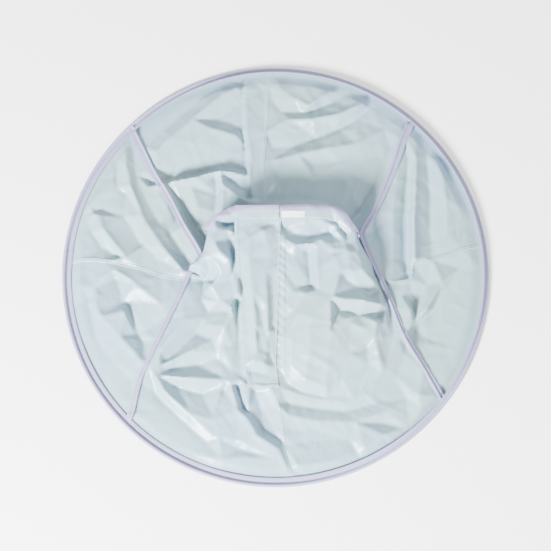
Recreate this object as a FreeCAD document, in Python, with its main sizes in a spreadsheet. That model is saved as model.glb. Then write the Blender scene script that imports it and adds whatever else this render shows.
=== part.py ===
"""Foldable hoop cape that catches hair, laid out flat with its neck sleeve folded forward.

A sprung wire hoop in a bias-taped rim holds four cloth gores. Two bent wire ribs run from the rim
round the neck. The neck sleeve lies on its back panel with its front opening, placket flap and
collar uppermost. Millimetres, +Z up, origin at the hoop's centre on the surface it lies on.
"""

import FreeCAD, Part
import math
import os
import re

import Sketcher
from FreeCAD import Placement, Rotation, Vector

# Driving dimensions: alias, value, meaning.
DIMENSIONS = [
    ("hoop_diameter", 650.0, "outside diameter over the rim binding"),
    ("hoop_wire_diameter", 2.4, "sprung steel wire of the hoop"),
    ("channel_clearance", 0.8, "air between the hoop wire and the rim channel"),
    ("tape_thickness", 0.6, "one ply of binding tape"),
    ("tape_flange_width", 8.0, "flat edge of the rim tape inside the channel"),
    ("cloth_thickness", 0.6, "one gore, coated cloth"),
    ("cloth_clearance", 0.15, "air between a gore and the tape round it"),
    ("ferrule_length", 24.0, "crimped ferrule along the hoop"),
    ("ferrule_wall", 0.5, "wall of the ferrule and of the ribs' caps"),
    ("ferrule_angle", 177.0, "where the hoop's ends meet, degrees from +X"),
    ("crimp_clearance", 0.05, "air between a wire and its ferrule or cap"),
    ("wire_end_gap", 1.0, "gap between the hoop's ends inside the ferrule"),
    ("lap_length", 26.0, "lapped end of the rim tape"),
    ("hole_clearance", 1.5, "edge of the gores outside the sleeve's base"),
    ("hole_height", 6.0, "underside of the gores at the neck hole"),
    ("hole_height_radius", 150.0, "distance from the origin where the gores are that high"),
    ("gore_gap", 0.8, "gap between two gores"),
    ("seam_width", 6.0, "felled seam over two gores"),
    ("seam_thickness", 0.8, "thickness of a felled seam"),
    ("stack_clearance", 0.1, "air between pieces sewn one on another"),
    ("rib_wire_diameter", 2.0, "sprung steel wire of a rib"),
    ("rib_tape_wall", 0.6, "rolled tape round a rib's wire"),
    ("rib_tape_clearance", 0.3, "air between a rib's wire and its tape"),
    ("rib_tape_flange", 8.0, "flat edge of the rib tape"),
    ("rib_apex_height", 15.0, "height of a rib's wire beside the neck"),
    ("rib_neck_clearance", 4.0, "rib's bend outside the sleeve half way up"),
    ("rib_kink", 46.0, "length of the rib's nearly straight part beside the neck"),
    ("rib_cap_length", 7.0, "end cap of a rib's wire"),
    ("tack_length", 7.0, "bar tack across a rib's end"),
    ("base_centre_x", 25.0, "middle of the sleeve's base"),
    ("mouth_centre_x", 10.0, "middle of the mouth"),
    ("base_front", -182.0, "Y of the sleeve's base at the front"),
    ("base_back", 50.0, "Y of the sleeve's base at the back"),
    ("base_clearance", 2.0, "sleeve's base above the gores' edge"),
    ("base_half_width", 138.0, "half width of the sleeve's base"),
    ("middle_front", -66.0, "Y of the front panel half way up the sleeve"),
    ("middle_back", 56.0, "Y of the back panel half way up the sleeve"),
    ("middle_back_height", 15.0, "height of the back panel half way up"),
    ("middle_half_width", 124.0, "half width of the sleeve half way up"),
    ("mouth_front", 98.0, "Y of the mouth's front edge"),
    ("mouth_front_height", 54.0, "height of the mouth's front edge"),
    ("mouth_back", 80.0, "Y of the mouth's back edge"),
    ("mouth_back_height", 22.0, "height of the mouth's back edge"),
    ("mouth_half_width", 115.0, "half width of the mouth"),
    ("sleeve_thickness", 0.8, "wall of the sleeve"),
    ("slit_x", 6.0, "X of the front opening and of the back seam"),
    ("slit_gap", 1.0, "gap between the two halves of the sleeve"),
    ("layer_gap", 0.5, "air between cloth layers on the sleeve"),
    ("hinge_gap", 0.6, "stitched edge of the flap from the front opening"),
    ("flap_width", 61.0, "placket flap from its stitched edge to its free edge"),
    ("flap_thickness", 0.9, "placket flap, two plies"),
    ("placket_bottom", -166.0, "Y of the placket's bottom stitches"),
    ("underlap_width", 42.0, "underlap beneath the flap"),
    ("underlap_thickness", 0.7, "underlap, one ply and its hem"),
    ("collar_depth", 24.0, "depth of the collar band"),
    ("collar_thickness", 1.2, "collar band, interfaced"),
    ("collar_tape_depth", 8.0, "tape folded over the collar's edge"),
    ("overlap_set_back", 8.0, "collar's lapped end from the flap's stitched edge"),
    ("patch_set_back", 12.0, "hook and loop strips from the front opening"),
    ("patch_length", 30.0, "hook and loop strips, length"),
    ("patch_width", 11.0, "hook and loop strips, width"),
    ("patch_thickness", 1.4, "hook and loop strips, thickness"),
    ("bottom_tack_depth", 5.0, "bar tack across the placket's bottom"),
    ("cloth_set_back", 0.5, "gore's outer edge from the root of the tape's slot"),
    ("lap_inner_margin", 1.0, "lapped end of the tape from the flange's free edge"),
    ("lap_outer_margin", 1.5, "lapped end of the tape, and seams, from the flange's root and free edge"),
    ("seam_rest", 0.05, "air between a seam's outer end and the cloth"),
    ("rib_set_back", 2.5, "rib's wire end from the flange's root"),
    ("rib_bow", 4.0, "rib's long straight bowed inwards"),
    ("rib_dip", 1.0, "rib's long straight below its chord"),
    ("tack_margin", 2.0, "bar tacks short of the edges of what they hold"),
    ("underlap_set_back", 1.0, "underlap from the front opening"),
    ("underlap_rise", 6.0, "underlap's lower end above the placket's bottom"),
    ("collar_set_back", 0.5, "collar band from the front opening and the mouth's edge"),
    ("foot_margin", 1.0, "bottom tack above the placket's bottom"),
]
# Ribs: side, sign of X, angles of the back and front ends on the rim, Y of the bend by the neck.
RIBS = [("left", -1, 134.4, 225.5, 26.0), ("right", 1, 48.8, -37.8, 60.0)]
# Share of the kink by which a rib leans out along it, and share of the apex height left at its foot.
KNEE_LEAN, KNEE_DROP = 0.45, 0.9
# Share of the shorter run that a rib's rounded corner takes, and of the collar's depth kept below it.
CORNER_SHARE, COLLAR_LAP = 0.4, 1.35
OFFSET_TOLERANCE = 0.01
# Gores and seams by the direction in which each starts, degrees from +X.
GORES = [("back_right", 0), ("back_left", 90), ("front_left", 180), ("front_right", 270)]
SEAMS = [("right", 0), ("back", 90), ("left", 180), ("front", 270)]
UP = Vector(0, 0, 1)

doc = FreeCAD.newDocument("hoop_cape")
sheet = doc.addObject("Spreadsheet::Sheet", "params")
for row, (alias, value, meaning) in enumerate(DIMENSIONS, start=1):
    sheet.set(f"A{row}", alias)
    sheet.set(f"B{row}", str(value))
    sheet.setAlias(f"B{row}", alias)
    sheet.set(f"C{row}", meaning)
doc.recompute()
ALIASES = {alias for alias, _, _ in DIMENSIONS}
nodes = []


def bound(text):
    """A sheet expression from plain alias names."""
    return re.sub(r"[a-z_]+", lambda m: f"params.{m[0]}" if m[0] in ALIASES else m[0], text)


def size(text):
    """The present value of an expression of sheet aliases."""
    return float(sheet.evalExpression(bound(text)))


def primitive(kind, name, lift=None, turn=0.0, **sizes):
    """A Part primitive, turned about Z, with its sizes and its height bound to the sheet."""
    thing = doc.addObject(kind, name)
    thing.Placement = Placement(Vector(), Rotation(UP, turn))
    if lift:
        thing.setExpression("Placement.Base.z", bound(lift))
    for prop, text in sizes.items():
        thing.setExpression(prop, bound(text))
    return thing


def pair(kind, name, base, tool):
    """A boolean of two objects: Part::Cut, Part::Common."""
    thing = doc.addObject(kind, name)
    thing.Base, thing.Tool = base, tool
    return thing


def node(thing, label):
    """A finished sub-part; its label is its file's name."""
    thing.Label = label
    nodes.append(thing)
    return thing


def feature(label, shape):
    """A finished sub-part whose shape Part's own functions give."""
    thing = doc.addObject("Part::Feature", f"{label}_shape")
    thing.Shape = shape
    return node(thing, label)


def profile_body(name, corners, arcs, turn, sweep_angle=None, width=None):
    """A radial profile turned about Z by sweep_angle, or padded to a width both ways.

    corners are (radius, height) expressions; arcs maps a corner's index to (centre radius,
    centre height, radius, counter-clockwise) of the arc after it."""
    body = doc.addObject("PartDesign::Body", name)
    plane = next(o for o in body.Origin.OriginFeatures if o.Role == "XZ_Plane")
    sketch = body.newObject("Sketcher::SketchObject", f"{name}_profile")
    sketch.AttachmentSupport = [(plane, "")]
    sketch.MapMode = "FlatFace"
    points = [Vector(size(x), size(y), 0) for x, y in corners]
    count = len(points)
    forward = [i not in arcs or arcs[i][3] for i in range(count)]
    for i, start in enumerate(points):
        end = points[(i + 1) % count]
        if i in arcs:
            centre = Vector(size(arcs[i][0]), size(arcs[i][1]), 0)
            first, last = (start, end) if forward[i] else (end, start)
            angles = [math.atan2(p.y - centre.y, p.x - centre.x) for p in (first, last)]
            circle = Part.Circle(centre, UP, size(arcs[i][2]))
            sketch.addGeometry(Part.ArcOfCircle(circle, *angles))
        else:
            sketch.addGeometry(Part.LineSegment(start, end))
    for i in range(count):
        before = (i - 1) % count
        ends = (before, 2 if forward[before] else 1, i, 1 if forward[i] else 2)
        sketch.addConstraint(Sketcher.Constraint("Coincident", *ends))
    for i, corner in enumerate(corners):
        for axis, text in zip("XY", corner):
            values = (f"Distance{axis}", i, 1 if forward[i] else 2, size(text))
            number = sketch.addConstraint(Sketcher.Constraint(*values))
            sketch.renameConstraint(number, f"corner_{i}_{axis}")
            sketch.setExpression(f"Constraints.corner_{i}_{axis}", bound(text))
        if i in arcs:
            number = sketch.addConstraint(Sketcher.Constraint("Radius", i, size(arcs[i][2])))
            sketch.renameConstraint(number, f"arc_{i}")
            sketch.setExpression(f"Constraints.arc_{i}", bound(arcs[i][2]))
    if width:
        pad = body.newObject("PartDesign::Pad", f"{name}_pad")
        pad.Profile = sketch
        pad.SideType = "Symmetric"
        pad.setExpression("Length", bound(width))
    else:
        turning = body.newObject("PartDesign::Revolution", f"{name}_turned")
        turning.Profile = sketch
        turning.ReferenceAxis = (sketch, ["V_Axis"])
        turning.setExpression("Angle", bound(sweep_angle))
    body.Placement = Placement(Vector(), Rotation(UP, turn))
    return body


# ------------------------------------------------------------------ hoop, rim and gores
BORE = "(hoop_wire_diameter / 2 + channel_clearance)"
CHANNEL = f"({BORE} + tape_thickness)"
WIRE_RING = f"(hoop_diameter / 2 - {CHANNEL})"
SLOT_TOP = "(tape_thickness + cloth_thickness + 2 * cloth_clearance)"
RIM_TOP = f"({SLOT_TOP} + tape_thickness)"
FLANGE_EDGE = f"({WIRE_RING} - {BORE} - tape_flange_width)"
CLOTH_EDGE = f"({FLANGE_EDGE} + tape_flange_width - cloth_set_back)"
MIDDLE_X = "(base_centre_x + mouth_centre_x) / 2"
BASE_HEIGHT = "(hole_height + cloth_thickness + base_clearance)"


def arc_of(length):
    """Degrees on the hoop that a length takes."""
    return f"({math.degrees(1):.8f} * {length} / {WIRE_RING})"


def ring(name, radius, start, arc):
    """An arc of a round bar on the hoop's centreline."""
    sizes = {"Radius1": WIRE_RING, "Radius2": radius, "Angle3": arc}
    return primitive("Part::Torus", name, CHANNEL, size(start), **sizes)


def make_hoop():
    gap = arc_of("wire_end_gap")
    bar = ring("hoop_bar", "hoop_wire_diameter / 2", f"ferrule_angle + {gap} / 2", f"360 - {gap}")
    node(bar, "hoop_wire")
    arc = arc_of("ferrule_length")
    start = f"ferrule_angle - {arc} / 2"
    hollow = "(hoop_wire_diameter / 2 + crimp_clearance)"
    outside = ring("ferrule_outside", f"{hollow} + ferrule_wall", start, arc)
    inside = ring("ferrule_bore", hollow, start, arc)
    node(pair("Part::Cut", "ferrule", outside, inside), "hoop_ferrule")


def shoulder(height, radius):
    """Where a round of the channel meets a flat ply at a height."""
    return f"({WIRE_RING} - sqrt({radius}^2 - ({height} - {CHANNEL})^2))"


def make_rim():
    """The rim tape rolls round the wire and its two flat plies hold the gores between them."""
    corners = [
        (FLANGE_EDGE, "0"),
        (WIRE_RING, "0"),
        (shoulder(RIM_TOP, CHANNEL), RIM_TOP),
        (FLANGE_EDGE, RIM_TOP),
        (FLANGE_EDGE, SLOT_TOP),
        (shoulder(SLOT_TOP, BORE), SLOT_TOP),
        (WIRE_RING, "tape_thickness"),
        (FLANGE_EDGE, "tape_thickness"),
    ]
    arcs = {
        1: (WIRE_RING, CHANNEL, CHANNEL, True),
        5: (WIRE_RING, CHANNEL, BORE, False),
    }
    node(profile_body("rim_tape", corners, arcs, 0, "360"), "rim_binding")
    low = f"{RIM_TOP} + stack_clearance"
    inner = f"{FLANGE_EDGE} + lap_inner_margin"
    outer = f"{FLANGE_EDGE} + tape_flange_width - lap_outer_margin"
    lap = [
        (inner, low),
        (outer, low),
        (outer, f"{low} + tape_thickness"),
        (inner, f"{low} + tape_thickness"),
    ]
    start = size(f"ferrule_angle - {arc_of('lap_length')} / 2")
    node(profile_body("rim_lap", lap, {}, start, arc_of("lap_length")), "rim_binding_lap")


def oval(front, back, half_width):
    """A closed oval through a front and a back point on the sleeve's middle plane."""
    centre, across = (front + back) / 2, Vector(half_width, 0, 0)
    along = (front - back) / 2
    longer, shorter = (across, along) if half_width >= along.Length else (along, across)
    return Part.Wire([Part.Ellipse(centre + longer, centre + shorter, centre).toShape()])


def base_oval(clearance):
    """The outline of the sleeve's base, or of the neck hole round it."""
    x, z = size("base_centre_x"), size(BASE_HEIGHT)
    front = Vector(x, size("base_front") - clearance, z)
    back = Vector(x, size("base_back") + clearance, z)
    return oval(front, back, size("base_half_width") + clearance)


def make_gores():
    """Four quarter dishes round the neck hole: flat inside the rim tape, rising to the neck."""
    inner, edge = "(hole_height_radius / 4)", "(tape_thickness + cloth_clearance)"
    lower = [
        (inner, "hole_height"),
        ("hole_height_radius", "hole_height"),
        (FLANGE_EDGE, edge),
        (CLOTH_EDGE, edge),
    ]
    upper = [(radius, f"{height} + cloth_thickness") for radius, height in reversed(lower)]
    gap = arc_of("gore_gap")
    plug = doc.addObject("Part::Feature", "neck_hole_plug")
    outline = base_oval(size("hole_clearance"))
    outline.translate(UP * -size(BASE_HEIGHT))
    plug.Shape = Part.Face(outline).extrude(UP * size(f"2 * {BASE_HEIGHT}"))
    for name, start in GORES:
        turn = start + size(gap) / 2
        dish = profile_body(f"dish_{name}", lower + upper, {}, turn, f"90 - {gap}")
        node(pair("Part::Cut", f"cut_{name}", dish, plug), f"gore_{name}")


def hole_reach(direction):
    """Distance from the origin to the neck hole's edge in a direction, degrees from +X."""
    half_width = size("base_half_width + hole_clearance")
    half_depth = size("(base_back - base_front) / 2 + hole_clearance")
    ray = (math.cos(math.radians(direction)) / half_width, math.sin(math.radians(direction)) / half_depth)
    offset = (size("base_centre_x") / half_width, size("(base_back + base_front) / 2") / half_depth)
    along = ray[0] * offset[0] + ray[1] * offset[1]
    length = ray[0] ** 2 + ray[1] ** 2
    return (along + math.sqrt(along**2 - length * (offset[0] ** 2 + offset[1] ** 2 - 1))) / length


def make_seams():
    """A felled seam lies over each pair of gores, from the neck hole to the rim tape."""
    over = "cloth_thickness + stack_clearance"
    for name, direction in SEAMS:
        inner = hole_reach(direction) + size("seam_width")
        rest = f"tape_thickness + cloth_clearance + {over} + seam_rest"
        lower = [(f"{FLANGE_EDGE} - lap_outer_margin", rest)]
        knee = size("hole_height_radius")
        if inner < knee:
            lower.insert(0, ("hole_height_radius", f"hole_height + {over}"))
        share = max(inner - knee, 0) / size(f"{FLANGE_EDGE} - hole_height_radius")
        drop = f"{share} * (hole_height - tape_thickness - cloth_clearance)"
        lower.insert(0, (f"{inner}", f"hole_height - {drop} + {over}"))
        upper = [(radius, f"{height} + seam_thickness") for radius, height in reversed(lower)]
        strip = profile_body(f"strip_{name}", lower + upper, {}, direction, width="seam_width")
        node(strip, f"seam_{name}")


# ------------------------------------------------------------------ ribs
def rib_points(sign, back_angle, front_angle, bend_y):
    """The rib's wire: rim, a long straight, a short stretch beside the neck, and the rim again."""
    reach = size(f"{FLANGE_EDGE} + tape_flange_width - rib_set_back")
    tape_round_wire = "rib_wire_diameter / 2 + rib_tape_clearance + rib_tape_wall"
    end_height = size(f"{RIM_TOP} + stack_clearance + {tape_round_wire}")
    apex_height, kink = size("rib_apex_height"), size("rib_kink")
    clear = size("rib_neck_clearance")
    beside = size("mouth_centre_x") + sign * (size("mouth_half_width") + clear)
    widest = max(
        sign * size(MIDDLE_X) + size("middle_half_width"),
        sign * size("base_centre_x") + size("base_half_width"),
    )
    ends = []
    for angle in (back_angle, front_angle):
        direction = Vector(math.cos(math.radians(angle)), math.sin(math.radians(angle)), 0)
        ends.append(direction * reach + UP * end_height)
    apex = Vector(beside, bend_y, apex_height)
    knee_x = sign * max(sign * beside + kink * KNEE_LEAN, widest + clear)
    knee = Vector(knee_x, bend_y - kink, apex_height * KNEE_DROP)
    middle = (knee + ends[1]) / 2 - Vector(sign * size("rib_bow"), 0, size("rib_dip"))
    return [ends[0], apex, knee, middle, ends[1]]


def rounded_path(points, trim=0.0):
    """Straight runs joined by tangent arcs as large as the runs beside them allow."""
    runs = [(b - a).Length for a, b in zip(points, points[1:])]
    edges, here = [], points[0] + (points[1] - points[0]).normalize() * trim
    finish = points[-1] + (points[-2] - points[-1]).normalize() * trim
    for i in range(1, len(points) - 1):
        before = (points[i - 1] - points[i]).normalize()
        after = (points[i + 1] - points[i]).normalize()
        share = CORNER_SHARE * min(runs[i - 1], runs[i])
        first, last = points[i] + before * share, points[i] + after * share
        half = before.getAngle(after) / 2
        radius = share * math.tan(half)
        centre = points[i] + (before + after).normalize() * (radius / math.sin(half))
        edges.append(Part.LineSegment(here, first).toShape())
        crown = centre + (points[i] - centre).normalize() * radius
        edges.append(Part.Arc(first, crown, last).toShape())
        here = last
    edges.append(Part.LineSegment(here, finish).toShape())
    return Part.Wire(edges)


def round_bar(path, radius):
    """A round bar along a path."""
    start, ahead = path.Vertexes[0].Point, path.Edges[0].tangentAt(0)
    section = Part.Wire([Part.Circle(start, ahead, radius).toShape()])
    return path.makePipeShell([section], True, False)


def swept(path, outline):
    """A closed outline carried along a path with its height kept upright."""
    pipe = Part.BRepOffsetAPI.MakePipeShell(path)
    pipe.setBiNormalMode(UP)
    pipe.add(outline)
    pipe.build()
    pipe.makeSolid()
    return pipe.shape()


def tape_outline(start, outward):
    """A rolled edge round the wire, with a flat flange level with its underside."""
    wall, flange = size("rib_tape_wall"), size("rib_tape_flange")
    radius = size("rib_wire_diameter / 2 + rib_tape_clearance") + wall
    neck = math.sqrt(radius**2 - (radius - wall) ** 2)

    def at(out, up):
        return start + outward * out + UP * up

    corners = [
        at(0, -radius),
        at(radius + flange, -radius),
        at(radius + flange, wall - radius),
        at(neck, wall - radius),
    ]
    edges = [Part.LineSegment(a, b).toShape() for a, b in zip(corners, corners[1:])]
    edges.append(Part.Arc(corners[-1], at(0, radius), at(-radius, 0)).toShape())
    lower_left = at(-radius * math.sqrt(0.5), -radius * math.sqrt(0.5))
    edges.append(Part.Arc(at(-radius, 0), lower_left, corners[0]).toShape())
    return Part.Wire(edges)


def make_ribs():
    caps, tacks = [], []
    cap_length, tack_length, sewn = size("rib_cap_length"), size("tack_length"), size("stack_clearance")
    wire = size("rib_wire_diameter / 2")
    hollow, snug = wire + size("rib_tape_clearance"), wire + size("crimp_clearance")
    rolled = hollow + size("rib_tape_wall")
    for side, sign, back_angle, front_angle, bend_y in RIBS:
        points = rib_points(sign, back_angle, front_angle, bend_y)
        feature(f"rib_wire_{side}", round_bar(rounded_path(points), wire))
        path = rounded_path(points, cap_length)
        ahead = (points[1] - points[0]).normalize()
        behind = (points[-2] - points[-1]).normalize()
        outward = UP.cross(ahead).normalize() * -sign
        tape = swept(path, tape_outline(points[0] + ahead * cap_length, outward))
        bore = round_bar(rounded_path(points, cap_length / 2), hollow)
        feature(f"rib_binding_{side}", tape.cut(bore))
        for end, inwards in ((points[0], ahead), (points[-1], behind)):
            tip = end - inwards * (wire + sewn)
            cup = Part.makeCylinder(snug + size("ferrule_wall"), cap_length, tip, inwards)
            caps.append(cup.cut(Part.makeCylinder(snug, 2 * cap_length, end - inwards * sewn, inwards)))
            outward = UP.cross(inwards).normalize()
            outward = outward if outward.x * sign > 0 else outward * -1
            start = end + inwards * (cap_length + 1) + outward * (rolled + 1) + UP * (sewn - hollow)
            bar = Part.makeBox(tack_length, size("rib_tape_flange - tack_margin"), size("tape_thickness"))
            bar.Placement = Placement(start, Rotation(inwards, outward, UP, "XYZ"))
            tacks.append(bar)
    feature("rib_end_caps", Part.makeCompound(caps))
    feature("rib_bar_tacks", Part.makeCompound(tacks))


# ------------------------------------------------------------------ neck sleeve and its layers
def sleeve_surface():
    """The sleeve's inner face: lofted from the oval base to the flat oval mouth."""
    x, mouth_x, base = size(MIDDLE_X), size("mouth_centre_x"), size(BASE_HEIGHT)
    front, back = size("base_front"), size("base_back")
    mouth_front, top = size("mouth_front"), size("mouth_front_height")
    share = (size("middle_front") - front) / (mouth_front - front)
    middle = oval(
        Vector(x, size("middle_front"), base + share * (top - base)),
        Vector(x, size("middle_back"), size("middle_back_height")),
        size("middle_half_width"),
    )
    mouth = oval(
        Vector(mouth_x, mouth_front, top),
        Vector(mouth_x, size("mouth_back"), size("mouth_back_height")),
        size("mouth_half_width"),
    )
    return Part.makeLoft([base_oval(0), middle, mouth], False, False)


def mouth_frame():
    """The mouth's front edge and the direction out of the mouth."""
    x = size("mouth_centre_x")
    front = Vector(x, size("mouth_front"), size("mouth_front_height"))
    back = Vector(x, size("mouth_back"), size("mouth_back_height"))
    return front, Vector(1, 0, 0).cross(back - front).normalize()


def side_region(x_low, x_high):
    """Everything between two X values."""
    reach = size("hoop_diameter")
    return Part.makeBox(x_high - x_low, 2 * reach, 2 * reach, Vector(x_low, -reach, -reach))


def front_region(x_low, x_high, y_low, y_high):
    """The front panel between X and Y values: above a plane that splits front from back."""
    reach = size("hoop_diameter")
    front, _ = mouth_frame()
    start = Vector(0, size("base_front"), 0)
    middle = Vector(0, front.y, (front.z + size("mouth_back_height")) / 2)
    above = Part.makeBox(2 * reach, 3 * reach, reach, Vector(-reach, -reach, 0))
    tilt = math.degrees(math.atan2(middle.z, middle.y - start.y))
    above.Placement = Placement(start, Rotation(Vector(1, 0, 0), tilt))
    return above.common(
        Part.makeBox(x_high - x_low, y_high - y_low, 2 * reach, Vector(x_low, y_low, -reach))
    )


def mouth_region(x_low, x_high, nearest, furthest):
    """Between two depths behind the mouth, and between two X values."""
    reach = size("hoop_diameter")
    front, outwards = mouth_frame()
    slab = Part.makeBox(2 * reach, 2 * reach, furthest - nearest, Vector(-reach, -reach, -furthest))
    slab.Placement = Placement(front, Rotation(UP, outwards))
    return slab.common(side_region(x_low, x_high))


def layer(surface, region, lift, thickness):
    """A cloth layer of a thickness, a lift outside the sleeve's inner face."""
    faces = surface.common(region).Faces
    outer = [face.makeOffsetShape(-lift - thickness, OFFSET_TOLERANCE, fill=True) for face in faces]
    solids = outer
    if lift:
        solids = [
            thick.cut(face.makeOffsetShape(-lift, OFFSET_TOLERANCE, fill=True))
            for thick, face in zip(outer, faces)
        ]
    joined = solids[0].fuse(solids[1:]).removeSplitter() if len(solids) > 1 else solids[0]
    return joined.Solids[0] if len(joined.Solids) == 1 else joined


def make_neck():
    surface = sleeve_surface()
    slit, half_gap = size("slit_x"), size("slit_gap / 2")
    reach = size("hoop_diameter")
    wall, gap = size("sleeve_thickness"), size("layer_gap")
    left = side_region(-reach, slit - half_gap)
    right = side_region(slit + half_gap, reach)
    feature("neck_sleeve_left", layer(surface, left, 0, wall))
    feature("neck_sleeve_right", layer(surface, right, 0, wall))

    depth, tape_depth = size("collar_depth"), size("collar_tape_depth")
    front, _ = mouth_frame()
    bottom, below_collar = size("placket_bottom"), front.y - depth * COLLAR_LAP
    first = wall + gap
    far_side, near_side = slit - size("underlap_width"), slit - size("underlap_set_back")
    underlap = front_region(far_side, near_side, bottom + size("underlap_rise"), below_collar)
    feature("placket_underlap", layer(surface, underlap, first, size("underlap_thickness")))

    band = size("collar_thickness")
    set_back = size("collar_set_back")
    for side, x_low, x_high in (("left", -reach, slit - set_back), ("right", slit + set_back, reach)):
        region = mouth_region(x_low, x_high, set_back, depth)
        feature(f"collar_band_{side}", layer(surface, region, first, band))
    tape, sewn = size("tape_thickness"), size("stack_clearance")
    region = mouth_region(slit + 2 * set_back, reach, 0, tape_depth)
    feature("collar_binding_right", layer(surface, region, first + band + sewn, tape))
    region = mouth_region(-reach, slit - 2 * set_back, 0, tape_depth)
    feature("collar_binding_left", layer(surface, region, first + band + sewn, tape))

    patch, patch_in = size("patch_thickness"), size("patch_set_back")
    near = tape_depth + 2 * set_back
    far = near + size("patch_width")
    on_band = first + band + sewn
    starts = (("loop_strip", slit + patch_in), ("hook_strip", slit - patch_in - size("patch_length")))
    for label, start in starts:
        region = mouth_region(start, start + size("patch_length"), near, far)
        region = region.common(front_region(start, start + size("patch_length"), 0, reach))
        feature(label, layer(surface, region, on_band, patch))
    return surface, first, on_band


def make_flap(surface, first, on_band):
    """The flap lies over the underlap; its collar end laps over the left collar."""
    slit, reach = size("slit_x"), size("hoop_diameter")
    stitched = slit - size("hinge_gap")
    free = stitched - size("flap_width")
    front, _ = mouth_frame()
    depth, band = size("collar_depth"), size("collar_thickness")
    gap, tape, sewn = size("layer_gap"), size("tape_thickness"), size("stack_clearance")
    bottom, top = size("placket_bottom"), front.y - depth * COLLAR_LAP
    lift = first + size("underlap_thickness") + gap
    thickness = size("flap_thickness")
    feature("placket_flap", layer(surface, front_region(free, stitched, bottom, top), lift, thickness))
    margin, foot = size("tack_margin"), bottom + size("foot_margin")
    region = front_region(free + margin, stitched - margin, foot, foot + size("bottom_tack_depth"))
    feature("placket_bottom_tack", layer(surface, region, lift + thickness + sewn, tape))
    over = on_band + size("patch_thickness") + gap
    end = stitched - size("overlap_set_back")
    region = mouth_region(free, end, size("collar_set_back"), depth)
    region = region.common(front_region(free, end, 0, reach))
    feature("collar_overlap", layer(surface, region, over, band))
    region = mouth_region(free, end, 0, size("collar_tape_depth"))
    region = region.common(front_region(free, end, 0, reach))
    feature("overlap_binding", layer(surface, region, over + band + sewn, tape))


make_hoop()
make_rim()
make_gores()
make_seams()
make_ribs()
make_flap(*make_neck())
doc.recompute()
for thing in doc.Objects:
    if "Invalid" in thing.State or "Error" in thing.State:
        raise RuntimeError(f"{thing.Label} failed: {thing.State}")
os.makedirs("parts", exist_ok=True)
for thing in nodes:
    if thing.Shape.isNull() or not thing.Shape.isValid():
        raise RuntimeError(f"{thing.Label} has no valid shape")
    thing.Shape.exportStep(f"parts/{thing.Label}.step")
    box = thing.Shape.BoundBox
    print(f"{thing.Label:22} {len(thing.Shape.Solids)} {thing.Shape.Volume:10.1f}", box)
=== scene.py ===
import functools
import math
import bpy
import numpy as np
from bpy.props import FloatProperty, FloatVectorProperty, IntProperty, PointerProperty
from bpy.types import Operator, Panel, PropertyGroup
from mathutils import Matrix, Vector, geometry, noise


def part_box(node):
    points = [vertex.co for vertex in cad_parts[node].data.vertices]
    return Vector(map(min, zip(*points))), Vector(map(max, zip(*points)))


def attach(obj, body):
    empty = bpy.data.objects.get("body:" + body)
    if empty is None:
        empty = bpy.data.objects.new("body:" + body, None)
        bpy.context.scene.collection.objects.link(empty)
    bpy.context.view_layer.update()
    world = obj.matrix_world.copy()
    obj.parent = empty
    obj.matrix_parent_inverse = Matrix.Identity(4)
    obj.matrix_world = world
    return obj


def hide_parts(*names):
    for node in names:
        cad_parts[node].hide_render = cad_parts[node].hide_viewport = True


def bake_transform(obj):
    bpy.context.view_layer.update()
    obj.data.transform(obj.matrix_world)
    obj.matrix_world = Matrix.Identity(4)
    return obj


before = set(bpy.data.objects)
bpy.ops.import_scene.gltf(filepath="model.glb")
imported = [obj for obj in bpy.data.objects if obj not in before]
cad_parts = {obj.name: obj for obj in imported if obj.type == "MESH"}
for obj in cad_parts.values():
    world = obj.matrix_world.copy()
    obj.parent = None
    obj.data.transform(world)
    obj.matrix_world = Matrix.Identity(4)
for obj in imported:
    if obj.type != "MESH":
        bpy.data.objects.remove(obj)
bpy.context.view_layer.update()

bl_info = {
    "name": "Foldable hoop cape",
    "version": (1, 0, 0),
    "blender": (4, 5, 0),
    "location": "View3D > Sidebar > Hoop Cape",
    "description": "Builds the cloth, bindings, ribs and stitches of a foldable hoop cape round its frame",
    "category": "Object",
}

MM = 0.001
RIM_LINE = 322.0
RIM_REST = 2.6
TAPE_SHARP = 40
LOWEST_TAPE = 0.05
RIM_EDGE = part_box("rim_binding")[1][0] / MM

# Places on the cloth are (x, y, height) in millimetres. The y is as drawn square to the working view,
# which looks down at DRAWN_ELEVATION, so on_cape() takes out the lean that a height gives it.
DRAWN_ELEVATION = math.radians(79)

LEFT_SEAM = [(-319, 12, 2.6), (-298, 18, 5), (-262, 17, 7), (-204, 5, 9), (-173, -6, 10),
             (-139, -11, 12), (-108, -11, 14)]
RIGHT_SEAM = [(160, -14, 14), (176, -16, 13), (203, -12, 10), (209, 10, 8), (238, 18, 8),
              (283, 34, 6), (317, 41, 2.6)]
BACK_SEAM = [(-6.5, 314, 2.6), (-12, 290, 4), (-15, 218, 7), (-19, 173, 8), (-19, 108, 8), (-14, 42, 8.5)]
FRONT_SEAM = [(-7, -174, 13), (3, -198, 10), (10, -234, 6), (13, -257, 5), (24, -292, 4), (26, -313, 2.6)]
BASE_LEFT = [(-108, -11, 14), (-112, -40, 15), (-104, -80, 15), (-88, -120, 14), (-62, -152, 13),
             (-38, -170, 13), (-7, -174, 13)]
BASE_SLIT = [(-7, -174, 13), (6, -175.4, 12.6)]
BASE_RIGHT = [(6, -175.4, 12.6), (18, -177, 12), (50, -187, 10), (100, -194, 9), (140, -184, 10),
              (165, -145, 12), (177, -92, 13), (172, -50, 14), (160, -14, 14)]
BASE_BACK_LEFT = [(-108, -11, 14), (-90, 10, 11), (-50, 35, 9), (-14, 42, 8.5)]
BASE_BACK_RIGHT = [(-14, 42, 8.5), (8, 45, 8), (70, 38, 8), (120, 18, 10), (160, -14, 14)]
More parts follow.
